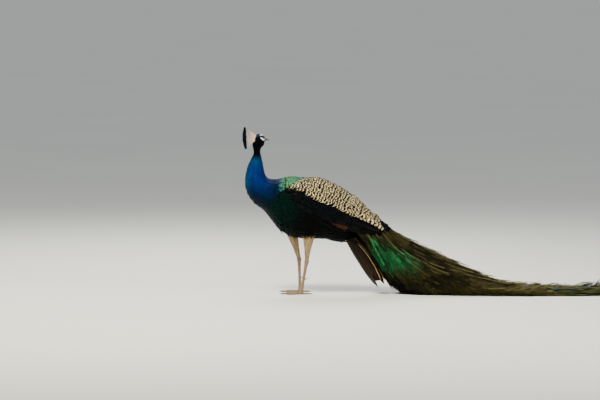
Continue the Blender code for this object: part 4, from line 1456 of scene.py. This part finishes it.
def eye_form():
    """A disc that is a flat ball: its upper half, then its lower half, with a ragged rim between."""
    points, spread = [(0, 0, 0.16)], [(0.5, 0.5)]
    for level, bands in ((1, EYE_BANDS), (-1, EYE_BANDS[::-1])):
        for band in bands:
            for k in range(EYE_ROUND_STEPS):
                turn = 2 * math.pi * k / EYE_ROUND_STEPS
                reach = band * (1 + (0.05 * (-1) ** k if band == 1.0 else 0))
                x, y = math.cos(turn) * reach, math.sin(turn) * reach * (0.94 + 0.06 * math.cos(turn))
                high = 0.10 * (1 - band**2) if level > 0 else -0.03
                points.append((x, y, high + (0.0 if band < 1 else 0.01 * level)))
                spread.append((0.5 + 0.5 * y, 0.5 + 0.5 * x))
    points.append((0, 0, -0.05))
    spread.append((0.5, 0.5))
    return unit_form("train_eye", points, ball_faces(2 * len(EYE_BANDS) + 1, EYE_ROUND_STEPS), spread)


TRAIN_EYE = eye_form()
FORMS += (TRAIN_EYE,)

# %% Material of an eye
# Peacock blue comes from fine layers in the barbs: partly metallic, with a soft satin highlight.
eye_keratin, tree, shader = new_material(
    "train_eye_iridescent_keratin", Metallic=0.5, Roughness=0.45, Specular_IOR_Level=0.12
)
shader.inputs["Specular Tint"].default_value = SHEEN
vane = add(tree, "ShaderNodeUVMap", uv_map="vane")
centred = add(tree, "ShaderNodeVectorMath", {0: vane, 1: (0.5, 0.5, 0.0)}, operation="SUBTRACT")
parts = add(tree, "ShaderNodeSeparateXYZ", {0: centred})
reach = add(tree, "ShaderNodeVectorMath", {0: centred}, operation="LENGTH")
ring_turns = add(
    tree, "ShaderNodeMath", {0: parts.outputs["X"], 1: parts.outputs["Y"]}, operation="ARCTAN2"
)
comb = add(tree, "ShaderNodeMath", {0: ring_turns, 1: 46.0}, operation="MULTIPLY")
comb = add(tree, "ShaderNodeMath", {0: comb}, operation="SINE")
ragged = add(
    tree, "ShaderNodeMath", {0: comb, 1: 0.008, 2: reach.outputs["Value"]}, operation="MULTIPLY_ADD"
)
RINGS = ((0.265, "#4a220c"), (0.400, "#6a5a22"), (0.435, "#245224"), (0.470, "#3d3516"))
colour = linear("#045c70")  # of the field, inside the first ring
for start, outer in RINGS:
    past = add(tree, "ShaderNodeMapRange", {0: ragged, 1: start - 0.010, 2: start + 0.010})
    ring = add(tree, "ShaderNodeMix", {0: past, 6: colour, 7: linear(outer)}, data_type="RGBA")
    colour = ring.outputs[2]


# %% The heart of an eye, with its notch
ahead = add(tree, "ShaderNodeMath", {0: parts.outputs["Y"], 1: 0.035}, operation="SUBTRACT")
heart_at = add(tree, "ShaderNodeCombineXYZ", {0: parts.outputs["X"], 1: ahead})
heart_reach = add(tree, "ShaderNodeVectorMath", {0: heart_at}, operation="LENGTH")
side = add(tree, "ShaderNodeMath", {0: parts.outputs["X"]}, operation="ABSOLUTE")
notch = add(tree, "ShaderNodeMapRange", {0: side, 1: 0.0, 2: 0.07, 3: 0.055, 4: 0.0})
front = add(tree, "ShaderNodeMapRange", {0: ahead, 1: 0.02, 2: 0.09})
bite = add(tree, "ShaderNodeMath", {0: notch, 1: front}, operation="MULTIPLY")
heart = add(tree, "ShaderNodeMath", {0: heart_reach.outputs["Value"], 1: bite}, operation="ADD")
inside = add(tree, "ShaderNodeMapRange", {0: heart, 1: 0.135, 2: 0.150})
hearted = add(tree, "ShaderNodeMix", {0: inside, 6: linear("#07082c"), 7: colour}, data_type="RGBA")
lines = add(tree, "ShaderNodeMapRange", {0: comb, 1: -1.0, 2: 1.0, 3: 0.75, 4: 1.0})
tone = add(
    tree, "ShaderNodeMix", {0: 1.0, 6: hearted.outputs[2], 7: lines}, data_type="RGBA",
    blend_type="MULTIPLY",
)
tree.links.new(tone.outputs[2], shader.inputs["Base Color"])

# %% Lay the eyes
EYES_FROM, EYES_SHORT = 0.68, 0.05  # metres from the rump, and short of the end
EYES_WITHIN, EYE_LIFT = 0.48, 0.0055  # share of the way round, and metres over the shaft
found, sizes = [], []
for s_here, t_tip, _, _, place, normal in feathers:
    chance = 0.35 + 0.55 * smooth_step(EYES_FROM, 1.0, s_here)
    if s_here < EYES_FROM or s_here > TRAIN_LENGTH - EYES_SHORT or dice.random() > chance:
        continue
    if abs(t_tip) > EYES_WITHIN:
        continue
    along = unit(place[-1] - place[-3])
    sizes.append(0.012 + 0.008 * smooth_step(EYES_FROM, 1.0, s_here) * dice.uniform(0.9, 1.1))
    middle = place[-1] - along * 0.010 + normal[-1] * EYE_LIFT
    found.append((middle, normal[-1], along, s_here, t_tip))
eyes, sizes, plain_tint = roots_of(found), np.array(sizes), all_of("#808080", len(found))
lay(
    "train_eyes", eyes, TRAIN_EYE, eye_keratin, (sizes, sizes * 1.8, 0.0060), 2,
    (plain_tint, plain_tint), 55, 0.05,
)

# %% [markdown]
# ## The head
# The head has its own frame: forward along the bill, to its left, and up, in millimetres from the
# middle of the skull. It is turned back past the right shoulder. Everything on it is placed in that
# frame.

# %% The head's own frame
HEAD_MIDDLE, HEAD_YAW, HEAD_PITCH, HEAD_ROLL = at(-0.1805, 0.0, 0.671), 50.0, -2.0, 12.0
HEAD_TURN = (
    Matrix.Rotation(math.radians(HEAD_YAW), 3, "Z") @ Matrix.Rotation(math.radians(-HEAD_PITCH), 3, "Y")
    @ Matrix.Rotation(math.radians(-HEAD_ROLL), 3, "X")
)
MM = 0.001


def on_head(forward, left, up):
    return HEAD_MIDDLE + HEAD_TURN @ (Vector((forward, left, up)) * MM)


def head_coordinates(places):
    return (places - np.array(HEAD_MIDDLE)) @ np.array(HEAD_TURN) / MM


def head_side(forward, up, turn):
    """Place and normal of the skin of the head, found by looking at it from its side."""
    start = on_head(forward, turn * 45.0, up)
    way = HEAD_TURN @ Vector((0, -turn, 0))
    hit, facing, _, _ = SKIN_TREE.ray_cast(start, way, 0.045)
    if hit is None:
        hit, facing, _, _ = SKIN_TREE.find_nearest(on_head(forward, turn * 8.0, up))
    return np.array(hit), np.array(facing)


# %% [markdown]
# The male has bare white skin round the eye: a stripe over it and a crescent under it, parted by a dark
# feathered line through the eye. Each is a thin pad that follows the skull, with a soft, wrinkled
# surface. Colour on the skull alone would sink between the plumes, so the pads stand a little proud and
# the plumes leave room for them.

# %% Bare skin of the face
# Both tables hold places forward and up on the head, and the half width there.
STRIPE = (
    (24.5, 8.5, 1.0), (20, 12.6, 1.8), (14, 15.6, 2.3), (7, 17.2, 2.6), (0, 17.4, 2.6), (-7, 15.8, 2.1),
    (-12, 13.4, 0.8),
)
CRESCENT = (
    (21.0, 0.5, 0.9), (15.5, -3.0, 2.8), (9, -4.4, 4.4), (2.5, -3.8, 5.2), (-4, -1.4, 5.0),
    (-9.5, 2.4, 3.6), (-13, 6.2, 1.0),
)
EYE_AT, EYE_RADIUS = (9.5, 13.2, 8.5), 5.4
PAD_LONG, PAD_WIDE, PAD_RISE, PAD_EDGE_SUNK, PAD_SUNK = 28, 9, 0.0016, 0.0003, 0.0008

# %% Pads that follow the skull
def pad(name, rows, turn):
    table = resampled(rows, PAD_LONG)
    along = np.gradient(table[:, :2], axis=0)
    along /= np.linalg.norm(along, axis=1, keepdims=True)
    upper, lower = [], []
    for i, (forward, up, half) in enumerate(table):
        end = min(i, PAD_LONG - 1 - i) / 3.0
        for k in range(PAD_WIDE):
            v = -1 + 2 * k / (PAD_WIDE - 1)
            x, z = forward - along[i, 1] * v * half, up + along[i, 0] * v * half
            hit, facing = head_side(x, z, turn)
            swell = (1 - v**4) * min(end, 1.0)
            upper.append(hit + facing * (PAD_RISE * swell - PAD_EDGE_SUNK))
            lower.append(hit - facing * PAD_SUNK)
    return grid_solid(name, upper, lower, PAD_LONG, PAD_WIDE)


def grid_solid(name, upper, lower, rows, columns):
    """Closes two grids of points into one solid with a rim between them."""
    faces, low = [], rows * columns
    for i in range(rows - 1):
        for k in range(columns - 1):
            a = i * columns + k
            quad = (a, a + 1, a + columns + 1, a + columns)
            faces += [quad, tuple(low + q for q in quad[::-1])]
    rim = list(range(columns))
    rim += [i * columns + columns - 1 for i in range(1, rows)]
    rim += [(rows - 1) * columns + k for k in range(columns - 2, -1, -1)]
    rim += [i * columns for i in range(rows - 2, 0, -1)]
    for a, b in zip(rim, rim[1:] + rim[:1]):
        faces.append((a, low + a, low + b, b))
    return solid_object(name, list(upper) + list(lower), faces)


# Bare skin: off-white, matt and finely wrinkled, a little pink where blood shows through.
WRINKLES = 900.0  # noise cells to the metre, so folds are about 1 mm apart
face_skin, tree, shader, folds = mottled_material(
    "bare_face_skin", WRINKLES, "#c9beb4", "#f4f1ea", 3.0, Roughness=0.6, Subsurface_Weight=0.15
)
shader.inputs["Subsurface Radius"].default_value = (0.004, 0.002, 0.001)
bump = add(tree, "ShaderNodeBump", {"Strength": 0.5, "Distance": 0.0004, "Height": folds})
tree.links.new(bump.outputs[0], shader.inputs["Normal"])


def finish_part(piece, material, slot, *nodes):
    """Gives a hard or bare part its finish, its body and the solids that it stands for. slot is not used.
    """
    piece.data.materials.clear()
    piece.data.materials.append(material)
    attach(piece, "root")
    if nodes:
        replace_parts(piece, *nodes)
    print(piece.name, "has", len(piece.data.polygons), "faces")
    return piece


for label, turn in (("left", 1), ("right", -1)):
    finish_part(pad(f"brow_stripe_{label}", STRIPE, turn), face_skin, "head_feather")
    finish_part(pad(f"cheek_crescent_{label}", CRESCENT, turn), face_skin, "head_feather")


# %% [markdown]
# ## Eyes
# A peacock's iris is dark brown. Each eyeball is a ball of rings round its line of sight, with a slight
# bulge for the cornea. Every point knows its angle from the line of sight, and the material colours
# pupil, iris and rim by that angle. A fold of lid skin closes the gap to the feathers.

# %% Eyeballs and lids
EYE_RINGS, EYE_ROUND = 18, 32
PUPIL, IRIS, CORNEA_EDGE = 29.0, 54.0, 40  # degrees from the line of sight
CORNEA_RISE = 0.0004


def eyeball(name, centre, sight):
    side = sight.orthogonal().normalized()
    up = sight.cross(side)
    points, polar = [centre + sight * (EYE_RADIUS * MM + CORNEA_RISE)], [0.0]
    for i in range(1, EYE_RINGS):
        angle = math.pi * i / EYE_RINGS
        degrees = math.degrees(angle)
        radius = EYE_RADIUS * MM + CORNEA_RISE * max(0.0, 1 - (degrees / CORNEA_EDGE) ** 2)
        for k in range(EYE_ROUND):
            turn = 2 * math.pi * k / EYE_ROUND
            away = side * math.cos(turn) + up * math.sin(turn)
            out = sight * math.cos(angle) + away * math.sin(angle)
            points.append(centre + out * radius)
            polar.append(degrees)
    points.append(centre - sight * EYE_RADIUS * MM)
    polar.append(180.0)
    ball = mesh_object(name, points, ball_faces(EYE_RINGS, EYE_ROUND))
    layer = ball.data.attributes.new("polar", "FLOAT", "POINT")
    layer.data.foreach_set("value", polar)
    return ball


# %% Lids
LID_LONG, LID_HIGH, LID_THICK = 1.12, 0.88, 0.0008
LID_REACH, LID_OUT = 4.35, 3.2  # millimetres sideways and forward from the middle of the eyeball


def lid(name, centre, sight):
    """A soft ring of skin round the eye, longer than high."""
    ahead = HEAD_TURN @ Vector((1, 0, 0))
    ahead = (ahead - sight * ahead.dot(sight)).normalized()
    up = sight.cross(ahead)
    points, faces, tube = [], [], 8
    for k in range(EYE_ROUND):
        turn = 2 * math.pi * k / EYE_ROUND
        out = ahead * math.cos(turn) * LID_LONG + up * math.sin(turn) * LID_HIGH
        middle = centre + out * (LID_REACH * MM) + sight * (LID_OUT * MM)
        for j in range(tube):
            roll = 2 * math.pi * j / tube
            away = out.normalized() * math.cos(roll) + sight * math.sin(roll)
            points.append(middle + away * LID_THICK)
    for k in range(EYE_ROUND):
        nxt = (k + 1) % EYE_ROUND
        for j in range(tube):
            faces.append(
                (k * tube + j, nxt * tube + j, nxt * tube + (j + 1) % tube, k * tube + (j + 1) % tube)
            )
    return solid_object(name, points, faces)


# %% Finishes of eye and lid
# The wet eye: a clear glossy coat over a dark brown iris and a black pupil.
eye_wet, tree, shader = new_material(
    "wet_eye", Roughness=0.25, Specular_IOR_Level=0.2, Coat_Weight=0.6, Coat_Roughness=0.04
)
polar = add(tree, "ShaderNodeAttribute", attribute_name="polar")
place = add(tree, "ShaderNodeTexCoord")
fibres = add(tree, "ShaderNodeTexNoise", {"Vector": place.outputs["Object"], "Scale": 1500.0})
iris = add(
    tree, "ShaderNodeMix", {0: fibres, 6: linear("#160803"), 7: linear("#3a1c0b")}, data_type="RGBA"
)
beyond_pupil = add(tree, "ShaderNodeMapRange", {0: polar.outputs["Fac"], 1: PUPIL - 2, 2: PUPIL + 2})
beyond_iris = add(tree, "ShaderNodeMapRange", {0: polar.outputs["Fac"], 1: IRIS - 4, 2: IRIS + 4})
inner = add(
    tree, "ShaderNodeMix", {0: beyond_pupil, 6: linear("#020202"), 7: iris.outputs[2]}, data_type="RGBA"
)
whole = add(
    tree, "ShaderNodeMix", {0: beyond_iris, 6: inner.outputs[2], 7: linear("#0d0705")}, data_type="RGBA"
)
tree.links.new(whole.outputs[2], shader.inputs["Base Color"])
# Lid skin: grey, matt and creased.
lid_skin = mottled_material("eyelid_skin", 1200.0, "#141314", "#2e2b2a", Roughness=0.55)[0]

for label, turn in (("left", 1), ("right", -1)):
    centre = on_head(EYE_AT[0], turn * EYE_AT[1], EYE_AT[2])
    sight = (HEAD_TURN @ Vector((0.28, turn, 0.10))).normalized()
    finish_part(eyeball(f"eyeball_{label}", centre, sight), eye_wet, "eye", f"eye_{label}")
    finish_part(lid(f"eyelid_{label}", centre, sight), lid_skin, "head_feather")


# %% [markdown]
# ## Head plumes
# The head is covered with tiny plumes, smaller than anywhere else, scattered as close as they grow.
# They lie back from the bill over the crown and cheeks and turn down at the nape.

# %% Scatter plumes over the skin of the head
def scatter(obj, inside, gap, seed):
    """Even random places on the faces of a mesh, none nearer than the gap to another."""
    dice = np.random.default_rng(seed)
    mesh = obj.data
    points = mesh_points(obj)
    corners = np.array([p.vertices[:3] for p in mesh.polygons])
    a, b, c = points[corners[:, 0]], points[corners[:, 1]], points[corners[:, 2]]
    chosen = inside((a + b + c) / 3)
    a, b, c = a[chosen], b[chosen], c[chosen]
    facing = np.cross(b - a, c - a)
    area = np.linalg.norm(facing, axis=1)
    count = int(6 * area.sum() / gap**2)
    pick = dice.choice(len(a), count, p=area / area.sum())
    u, v = dice.random((2, count, 1))
    turned = u + v > 1
    u, v = np.where(turned, 1 - u, u), np.where(turned, 1 - v, v)
    place = a[pick] + (b[pick] - a[pick]) * u + (c[pick] - a[pick]) * v
    mirrored = dice.random((count, 1)) < 0.5  # a square face is twice its first triangle
    place = np.where(mirrored, a[pick] + c[pick] - place, place)
    near = KDTree(count)
    for i, p in enumerate(place):
        near.insert(p, i)
    near.balance()
    dropped = np.zeros(count, bool)
    for i in range(count):
        if not dropped[i]:
            for _, j, _ in near.find_range(place[i], gap):
                if j > i:
                    dropped[j] = True
    kept = ~dropped
    return place[kept], unit(facing[pick])[kept]


# %% Where plumes grow
PLUMES_FROM, BILL_BASE, PLUME_GAP = 0.643, 28.5, 0.00165
LID_ROOM, LID_LONG_ROOM = 5.2, 1.1  # millimetres round the eye, and how much longer than high


def inside_pad(forward, up, rows, margin):
    table = resampled(rows, 40)
    gap = np.hypot(forward[:, None] - table[:, 0], up[:, None] - table[:, 1])
    return (gap < table[:, 2] + margin).any(1)


def head_part(places):
    forward, left, up = head_coordinates(places).T
    z = local(places)[2]
    eye = np.hypot((forward - EYE_AT[0]) / LID_LONG_ROOM, up - EYE_AT[2]) < LID_ROOM
    flank = np.abs(left) > 8
    bare = inside_pad(forward, up, STRIPE, 0.2) | inside_pad(forward, up, CRESCENT, 0.2) | eye
    return (z > PLUMES_FROM) & (forward < BILL_BASE) & ~(bare & flank)


# %% Lay the head plumes
place, facing = scatter(skin, head_part, PLUME_GAP, 61)
forward, left, up = head_coordinates(place).T
turn_down = smooth_step(10.0, -24.0, up + 0.6 * forward)[:, None]
backward = np.array(HEAD_TURN @ Vector((-1, 0, 0)))
lie = unit(backward * (1 - turn_down) + np.array((0.02, 0.0, -1.0)) * turn_down)
face_near = smooth_step(28, 8, forward)
plumes = {"place": place, "normal": facing, "lie": lie, "s": -forward - up, "t": np.arctan2(left, up)}
tint = plumage_and_painted_light(place)
# Painted highlight: the plumes of the upper head get a lighter blue, where light falls from above.
crown_highlight = smooth_step(4, 14, up) * (1 - smooth_step(16, 24, forward))
tint = mix_in(tint, "#0b4668", crown_highlight * 0.75)
line = np.exp(-(((up - 5.5 - 0.1 * forward) / 3.0) ** 2)) * (np.abs(left) > 10)
tint = mix_in(tint, "#04060a", line * 0.9)
head_keratin = feather_material("head_plume_blue_black_keratin", 0.4, 0.42, 6, gloss=0.15)
lay(
    "head_plumes", plumes, POINTED, head_keratin,
    (0.0037 + 0.0018 * (1 - face_near), 0.0026, 0.0004), 9, (shaded(tint, 0.5), shaded(tint, 1.3)),
    62, 0.16,
)

# %% [markdown]
# ## Bill
# The bill is horn: a hooked upper half that overlaps the lower one. Copies of the two solids are welded
# and subdivided, which rounds them and keeps their size, as sculpting would not. The nostril is a slit
# near the base.

# %% Horn of the bill
# Horn: hard, half glossy and streaked along its length, greyer at the base and paler at the tip.
horn, tree, shader = new_material("bill_horn", Roughness=0.38, IOR=1.54)
place = add(tree, "ShaderNodeTexCoord")
shift = add(
    tree, "ShaderNodeMapping",
    {0: place.outputs["Object"], "Location": tuple(-c for c in on_head(28.0, 0, 0))},
)
forward_axis = HEAD_TURN @ Vector((1, 0, 0))
reach = add(tree, "ShaderNodeVectorMath", {0: shift, 1: tuple(forward_axis)}, operation="DOT_PRODUCT")
streaks = add(tree, "ShaderNodeTexNoise", {"Vector": place.outputs["Object"], "Scale": 500.0})
share = add(tree, "ShaderNodeMapRange", {0: reach.outputs["Value"], 1: 0.0, 2: 0.034})
share = add(tree, "ShaderNodeMath", {0: streaks, 1: 0.35, 2: share}, operation="MULTIPLY_ADD")
tone = add(
    tree, "ShaderNodeMix", {0: share, 6: linear("#2f2b26"), 7: linear("#7d7263")}, data_type="RGBA"
)
tree.links.new(tone.outputs[2], shader.inputs["Base Color"])

# %% Refine the bill
def refined(name, node, levels, sunk=0.0):
    """A welded, rounded copy of a solid. Its base may be sunk into the head by some metres."""
    form = bmesh.new()
    form.from_mesh(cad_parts[node].data)
    bmesh.ops.remove_doubles(form, verts=form.verts, dist=1e-5)
    bmesh.ops.recalc_face_normals(form, faces=form.faces)
    if sunk:
        forward = HEAD_TURN @ Vector((1, 0, 0))
        base = min(vert.co.dot(forward) for vert in form.verts)
        for vert in form.verts:
            if vert.co.dot(forward) < base + 0.001:
                vert.co -= forward * sunk
    mesh = bpy.data.meshes.new(name)
    form.to_mesh(mesh)
    form.free()
    piece = in_scene(name, mesh)
    rounder = piece.modifiers.new("round", "SUBSURF")
    rounder.levels = rounder.render_levels = levels
    plain(piece)
    piece.data.shade_smooth()
    return piece


BILL_SUNK = 0.007  # its base runs on into the plumes
for node in ("bill_upper", "bill_lower"):
    finish_part(refined(f"{node}_horn", node, 2, BILL_SUNK), horn, "horn", node)


def pebble(name, centre, axes):
    """A small rounded body with the given half axes, as a ball of rings like the eyeball."""
    points, rings, count = [centre + axes[2]], 6, 12
    for i in range(1, rings):
        angle = math.pi * i / rings
        for k in range(count):
            turn = 2 * math.pi * k / count
            flat = axes[0] * math.cos(turn) + axes[1] * math.sin(turn)
            points.append(centre + axes[2] * math.cos(angle) + flat * math.sin(angle))
    points.append(centre - axes[2])
    return mesh_object(name, points, ball_faces(rings, count))


# %% Nostrils
# The nostril: a dark, mottled pebble on the bill, painted shade for the opening.
nostril_painted_shade = mottled_material("nostril_painted_shade", 1500.0, "#120d0a", "#2a211b", Roughness=0.5)[0]
for label, turn in (("left", 1), ("right", -1)):
    axes = [HEAD_TURN @ (Vector(a) * MM) for a in ((2.6, 0, -0.3), (0, 0.8, 0.2 * turn), (0.1, 0, 0.8))]
    slit = pebble(f"nostril_{label}", on_head(36.0, turn * 3.9, 2.6), axes)
    finish_part(slit, nostril_painted_shade, "horn")


# %% [markdown]
# ## Crest
# The crest is a fan of about two dozen stiff shafts, almost bare, each with a small blue-green paddle
# at its end. It stands up from the back of the crown in one plane, so the same two sweeps that made the
# train's shafts and the quills of the wing are used again, along straight lines with a slight bow.

# %% Fan of the crest
CREST_ROOT, CREST_COUNT = on_head(-28.7, -1.9, 8.7), 24
CREST_REACH, CREST_SPREAD, CREST_FOOT, CREST_ARC = 0.0625, 0.047, 0.0095, 0.010
CREST_LAYER, CREST_BOW, CREST_STEPS, CREST_RADII = 0.0012, 0.0018, 9, (0.0007, 0.00018)
PADDLE_LONG, PADDLE_LOSS, PADDLE_HALF, PADDLE_THICK, PADDLE_STEPS = 0.0200, 0.0085, 0.0036, 0.0004, 12
azimuth, rise, lean = math.radians(204.0), math.radians(-3.0), math.radians(1.0)
crest_axis = Vector(
    (math.cos(azimuth) * math.cos(rise), math.sin(azimuth) * math.cos(rise), math.sin(rise))
)
crest_chord = Vector((-math.sin(lean), 0, math.cos(lean)))
crest_chord = (crest_chord - crest_axis * crest_chord.dot(crest_axis)).normalized()
crest_face = crest_axis.cross(crest_chord)
dice = np.random.default_rng(71)
rods, paddles = [], []
for k in range(CREST_COUNT):
    share = 2 * k / (CREST_COUNT - 1) - 1
    layer = (k % 3 - 1) * CREST_LAYER
    foot = CREST_ROOT - crest_axis * 0.004 + crest_chord * (share * CREST_FOOT) + crest_face * layer * 0.4
    reach = CREST_REACH - CREST_ARC * share**2 - dice.uniform(0, 0.002)
    tip = CREST_ROOT + crest_axis * reach + crest_chord * (share * CREST_SPREAD) + crest_face * layer
    steps = np.linspace(0, 1, CREST_STEPS)[:, None]
    bow = crest_chord * (CREST_BOW * share)
    line = np.array(foot) * (1 - steps) + np.array(tip) * steps + np.array(bow) * np.sin(steps * math.pi)
    outward = np.tile(np.array(crest_face), (CREST_STEPS, 1))
    rods.append((line, outward, *CREST_RADII, one_tint("#f6d2b2"), one_tint("#8a7c64")))
    length = PADDLE_LONG - PADDLE_LOSS * share**2
    way = unit(line[-1] - line[-3])
    ends = line[-1] - way * length * (1 - np.linspace(0, 1, PADDLE_STEPS)[:, None])
    tone = dice.uniform(0.8, 1.2)
    paddles.append(
        (
            ends, np.tile(np.array(crest_face), (PADDLE_STEPS, 1)), PADDLE_HALF, PADDLE_HALF,
            PADDLE_THICK, one_tint("#030608", tone), one_tint("#041a26", tone),
        )
    )
crest_shaft = feather_material("crest_shaft_keratin", 0.0, 0.5, 10)
crest_paddle = feather_material("crest_paddle_blue_keratin", 0.3, 0.5, 14, gloss=0.12)
sweep_rods("crest_shafts", rods, crest_shaft, "crest_feather")
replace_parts(sweep_vanes("crest_paddles", paddles, crest_paddle, "crest_feather", 0.45), "crest")

# %% [markdown]
# ## Legs and feet
# The lower legs and toes are bare and scaly. Shank and foot are fused into one form, and the spur is a
# rounded copy of its own. Rows of broad scales, the scutes, are laid over the front of each shank and the
# tops of the toes. Small round scales cover the rest, as a pattern in the material. The claws are horn.

# %% Skin of the legs
# Scaly leg skin: horny, half matt, pinkish buff, with small cells between raised scales.
CELL_SIZE = 0.0022  # metres across one small scale
leg_skin, tree, shader = new_material("scaly_leg_skin", Roughness=0.55, IOR=1.5)
place = add(tree, "ShaderNodeTexCoord")
cells = add(
    tree, "ShaderNodeTexVoronoi", {"Vector": place.outputs["Object"], "Scale": 1 / CELL_SIZE},
    feature="DISTANCE_TO_EDGE",
)
dirt = add(tree, "ShaderNodeTexNoise", {"Vector": place.outputs["Object"], "Scale": 60.0, "Detail": 4.0})
gap = add(tree, "ShaderNodeMapRange", {0: cells.outputs["Distance"], 1: 0.02, 2: 0.16})
ground = add(
    tree, "ShaderNodeMix", {0: dirt, 6: linear("#6f5842"), 7: linear("#a58a68")}, data_type="RGBA"
)
tone = add(tree, "ShaderNodeMix", {0: gap, 6: linear("#5e4a3c"), 7: ground.outputs[2]}, data_type="RGBA")
bump = add(tree, "ShaderNodeBump", {"Strength": 0.6, "Distance": 0.0004, "Height": gap})
tree.links.new(tone.outputs[2], shader.inputs["Base Color"])
tree.links.new(bump.outputs[0], shader.inputs["Normal"])

FUSE_LEG, SCUTE_ROOM = (0.0010, 0.0003, 4), 0.0003  # the skin is drawn in to make room for scutes
LEGS = {}
for label in ("left", "right"):
    nodes = [f"shank_{label}", f"foot_{label}"]
    leg = fused(f"leg_{label}", nodes, *FUSE_LEG, lambda p: np.full(len(p), SCUTE_ROOM))
    leg.data.materials.append(leg_skin)
    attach(leg, "root")
    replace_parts(leg, *nodes)
    LEGS[label] = tree_of(leg)
    spur = refined(f"spur_{label}_horn", f"spur_{label}", 1)
    finish_part(spur, horn, "horn", f"spur_{label}")


# %% [markdown]
# The scutes go down the front of the shank in two staggered columns, and along each toe in one. They
# are found by looking inwards from in front, or from above, and laid by the same node tree as the
# feathers.

# %% Scutes and their horn
scute = leaf("scute", ((0, 0.75), (0.45, 1.0), (0.85, 0.85), (1, 0)), 0.5, 0.12)
FORMS += (scute,)
# Scute horn: smoother and paler than the skin between.
scute_horn, tree, shader = new_material("scute_horn", Roughness=0.42, IOR=1.52)
root_tint = add(tree, "ShaderNodeAttribute", attribute_name="root_tint")
place = add(tree, "ShaderNodeTexCoord")
wear = add(tree, "ShaderNodeTexNoise", {"Vector": place.outputs["Object"], "Scale": 300.0, "Detail": 3.0})
worn = add(tree, "ShaderNodeMapRange", {0: wear, 3: 0.7, 4: 1.2})
tone = add(
    tree, "ShaderNodeMix", {0: 1.0, 6: root_tint, 7: worn}, data_type="RGBA", blend_type="MULTIPLY"
)
tree.links.new(tone.outputs[2], shader.inputs["Base Color"])

# %% Lay the scutes
LEG_LINES = {
    "left": (-0.050, (0.024, 0.142), (0.000, 0.020)),
    "right": (0.050, (-0.008, 0.144), (-0.004, 0.020)),
}  # y of the leg, then x and z of its heel and of its foot
# Each toe: degrees from straight ahead, its length and its radius.
TOES = ((2.0, 0.078, 0.0062), (34.0, 0.060, 0.0056), (-32.0, 0.056, 0.0056), (172.0, 0.036, 0.0046))
for label, (y, ankle, foot) in LEG_LINES.items():
    found = []
    outward_sign = -1 if label == "left" else 1
    down = unit(np.array((foot[0] - ankle[0], 0, foot[1] - ankle[1])))
    for row, share in enumerate(np.linspace(0.03, 0.98, 30)):
        for column in (-1, 1):
            x = ankle[0] + (foot[0] - ankle[0]) * share
            z = ankle[1] + (foot[1] - ankle[1]) * (share + 0.016 * column)
            start = at(x - 0.03, y + column * 0.0024, z)
            hit, facing, _, _ = LEGS[label].ray_cast(start, Vector((1, 0, 0)), 0.05)
            if hit is not None:
                found.append((hit, facing, down, share, column))
    for number, (angle, length, _) in enumerate(TOES):
        turn = math.radians(angle) * outward_sign
        way = np.array((-math.cos(turn), math.sin(turn), 0))
        for step in np.arange(0.012, length - 0.006, 0.0040):
            spot = at(foot[0], y, 0.04) + Vector(way * step)
            hit, facing, _, _ = LEGS[label].ray_cast(spot, Vector((0, 0, -1)), 0.05)
            if hit is not None:
                found.append((hit, facing, way, 2 + number + step, step))
    scutes = roots_of(found)
    scutes["place"] -= scutes["normal"] * SCUTE_ROOM
    tint = all_of("#a58c68", len(found))
    lay(
        f"leg_scutes_{label}", scutes, scute, scute_horn, (0.0058, 0.0064, 0.0008), 4,
        (tint, tint), 83, 0.02, 0.1,
    )


# %% [markdown]
# A claw is a curved, tapering cone of horn. It could be cut from the toe, but a separate piece gets its
# own finish, so each is swept in rings that shrink and bend down towards the point.

# %% Claws
# Claw horn: darker and smoother than the toe, and mottled.
claw_horn = mottled_material("claw_horn", 400.0, "#2a2019", "#5d4c3a", 3.0, Roughness=0.35, IOR=1.54)[0]
CLAW_STEPS, CLAW_ROUND, CLAW_LENGTH = 9, 10, 0.014
for label, (y, ankle, foot) in LEG_LINES.items():
    outward_sign = -1 if label == "left" else 1
    for number, (angle, length, radius) in enumerate(TOES):
        turn = math.radians(angle) * outward_sign
        way = Vector((-math.cos(turn), math.sin(turn), 0))
        across = Vector((-way.y, way.x, 0))
        points, faces = [], tube_faces(0, CLAW_STEPS, CLAW_ROUND, tip=False)
        for i in range(CLAW_STEPS):
            share = i / (CLAW_STEPS - 1)
            reach = -0.12 + 1.16 * share
            middle = at(foot[0], y, 0) + way * (length + CLAW_LENGTH * reach)
            middle.z = radius * (0.66 - 0.42 * reach**2) + 0.0004
            thick = radius * (0.64 - 0.50 * share**0.8)
            for k in range(CLAW_ROUND):
                around = 2 * math.pi * k / CLAW_ROUND
                out = across * (math.cos(around) * 0.9) + Vector((0, 0, math.sin(around)))
                points.append(middle + out * thick)
        finish_part(solid_object(f"claw_{label}_{number + 1}", points, faces), claw_horn, "horn")


# %% [markdown]
# ## Closing
# The small forms were only patterns to copy, so they go.

# %% Remove the small forms
for form in FORMS:
    bpy.data.objects.remove(form)
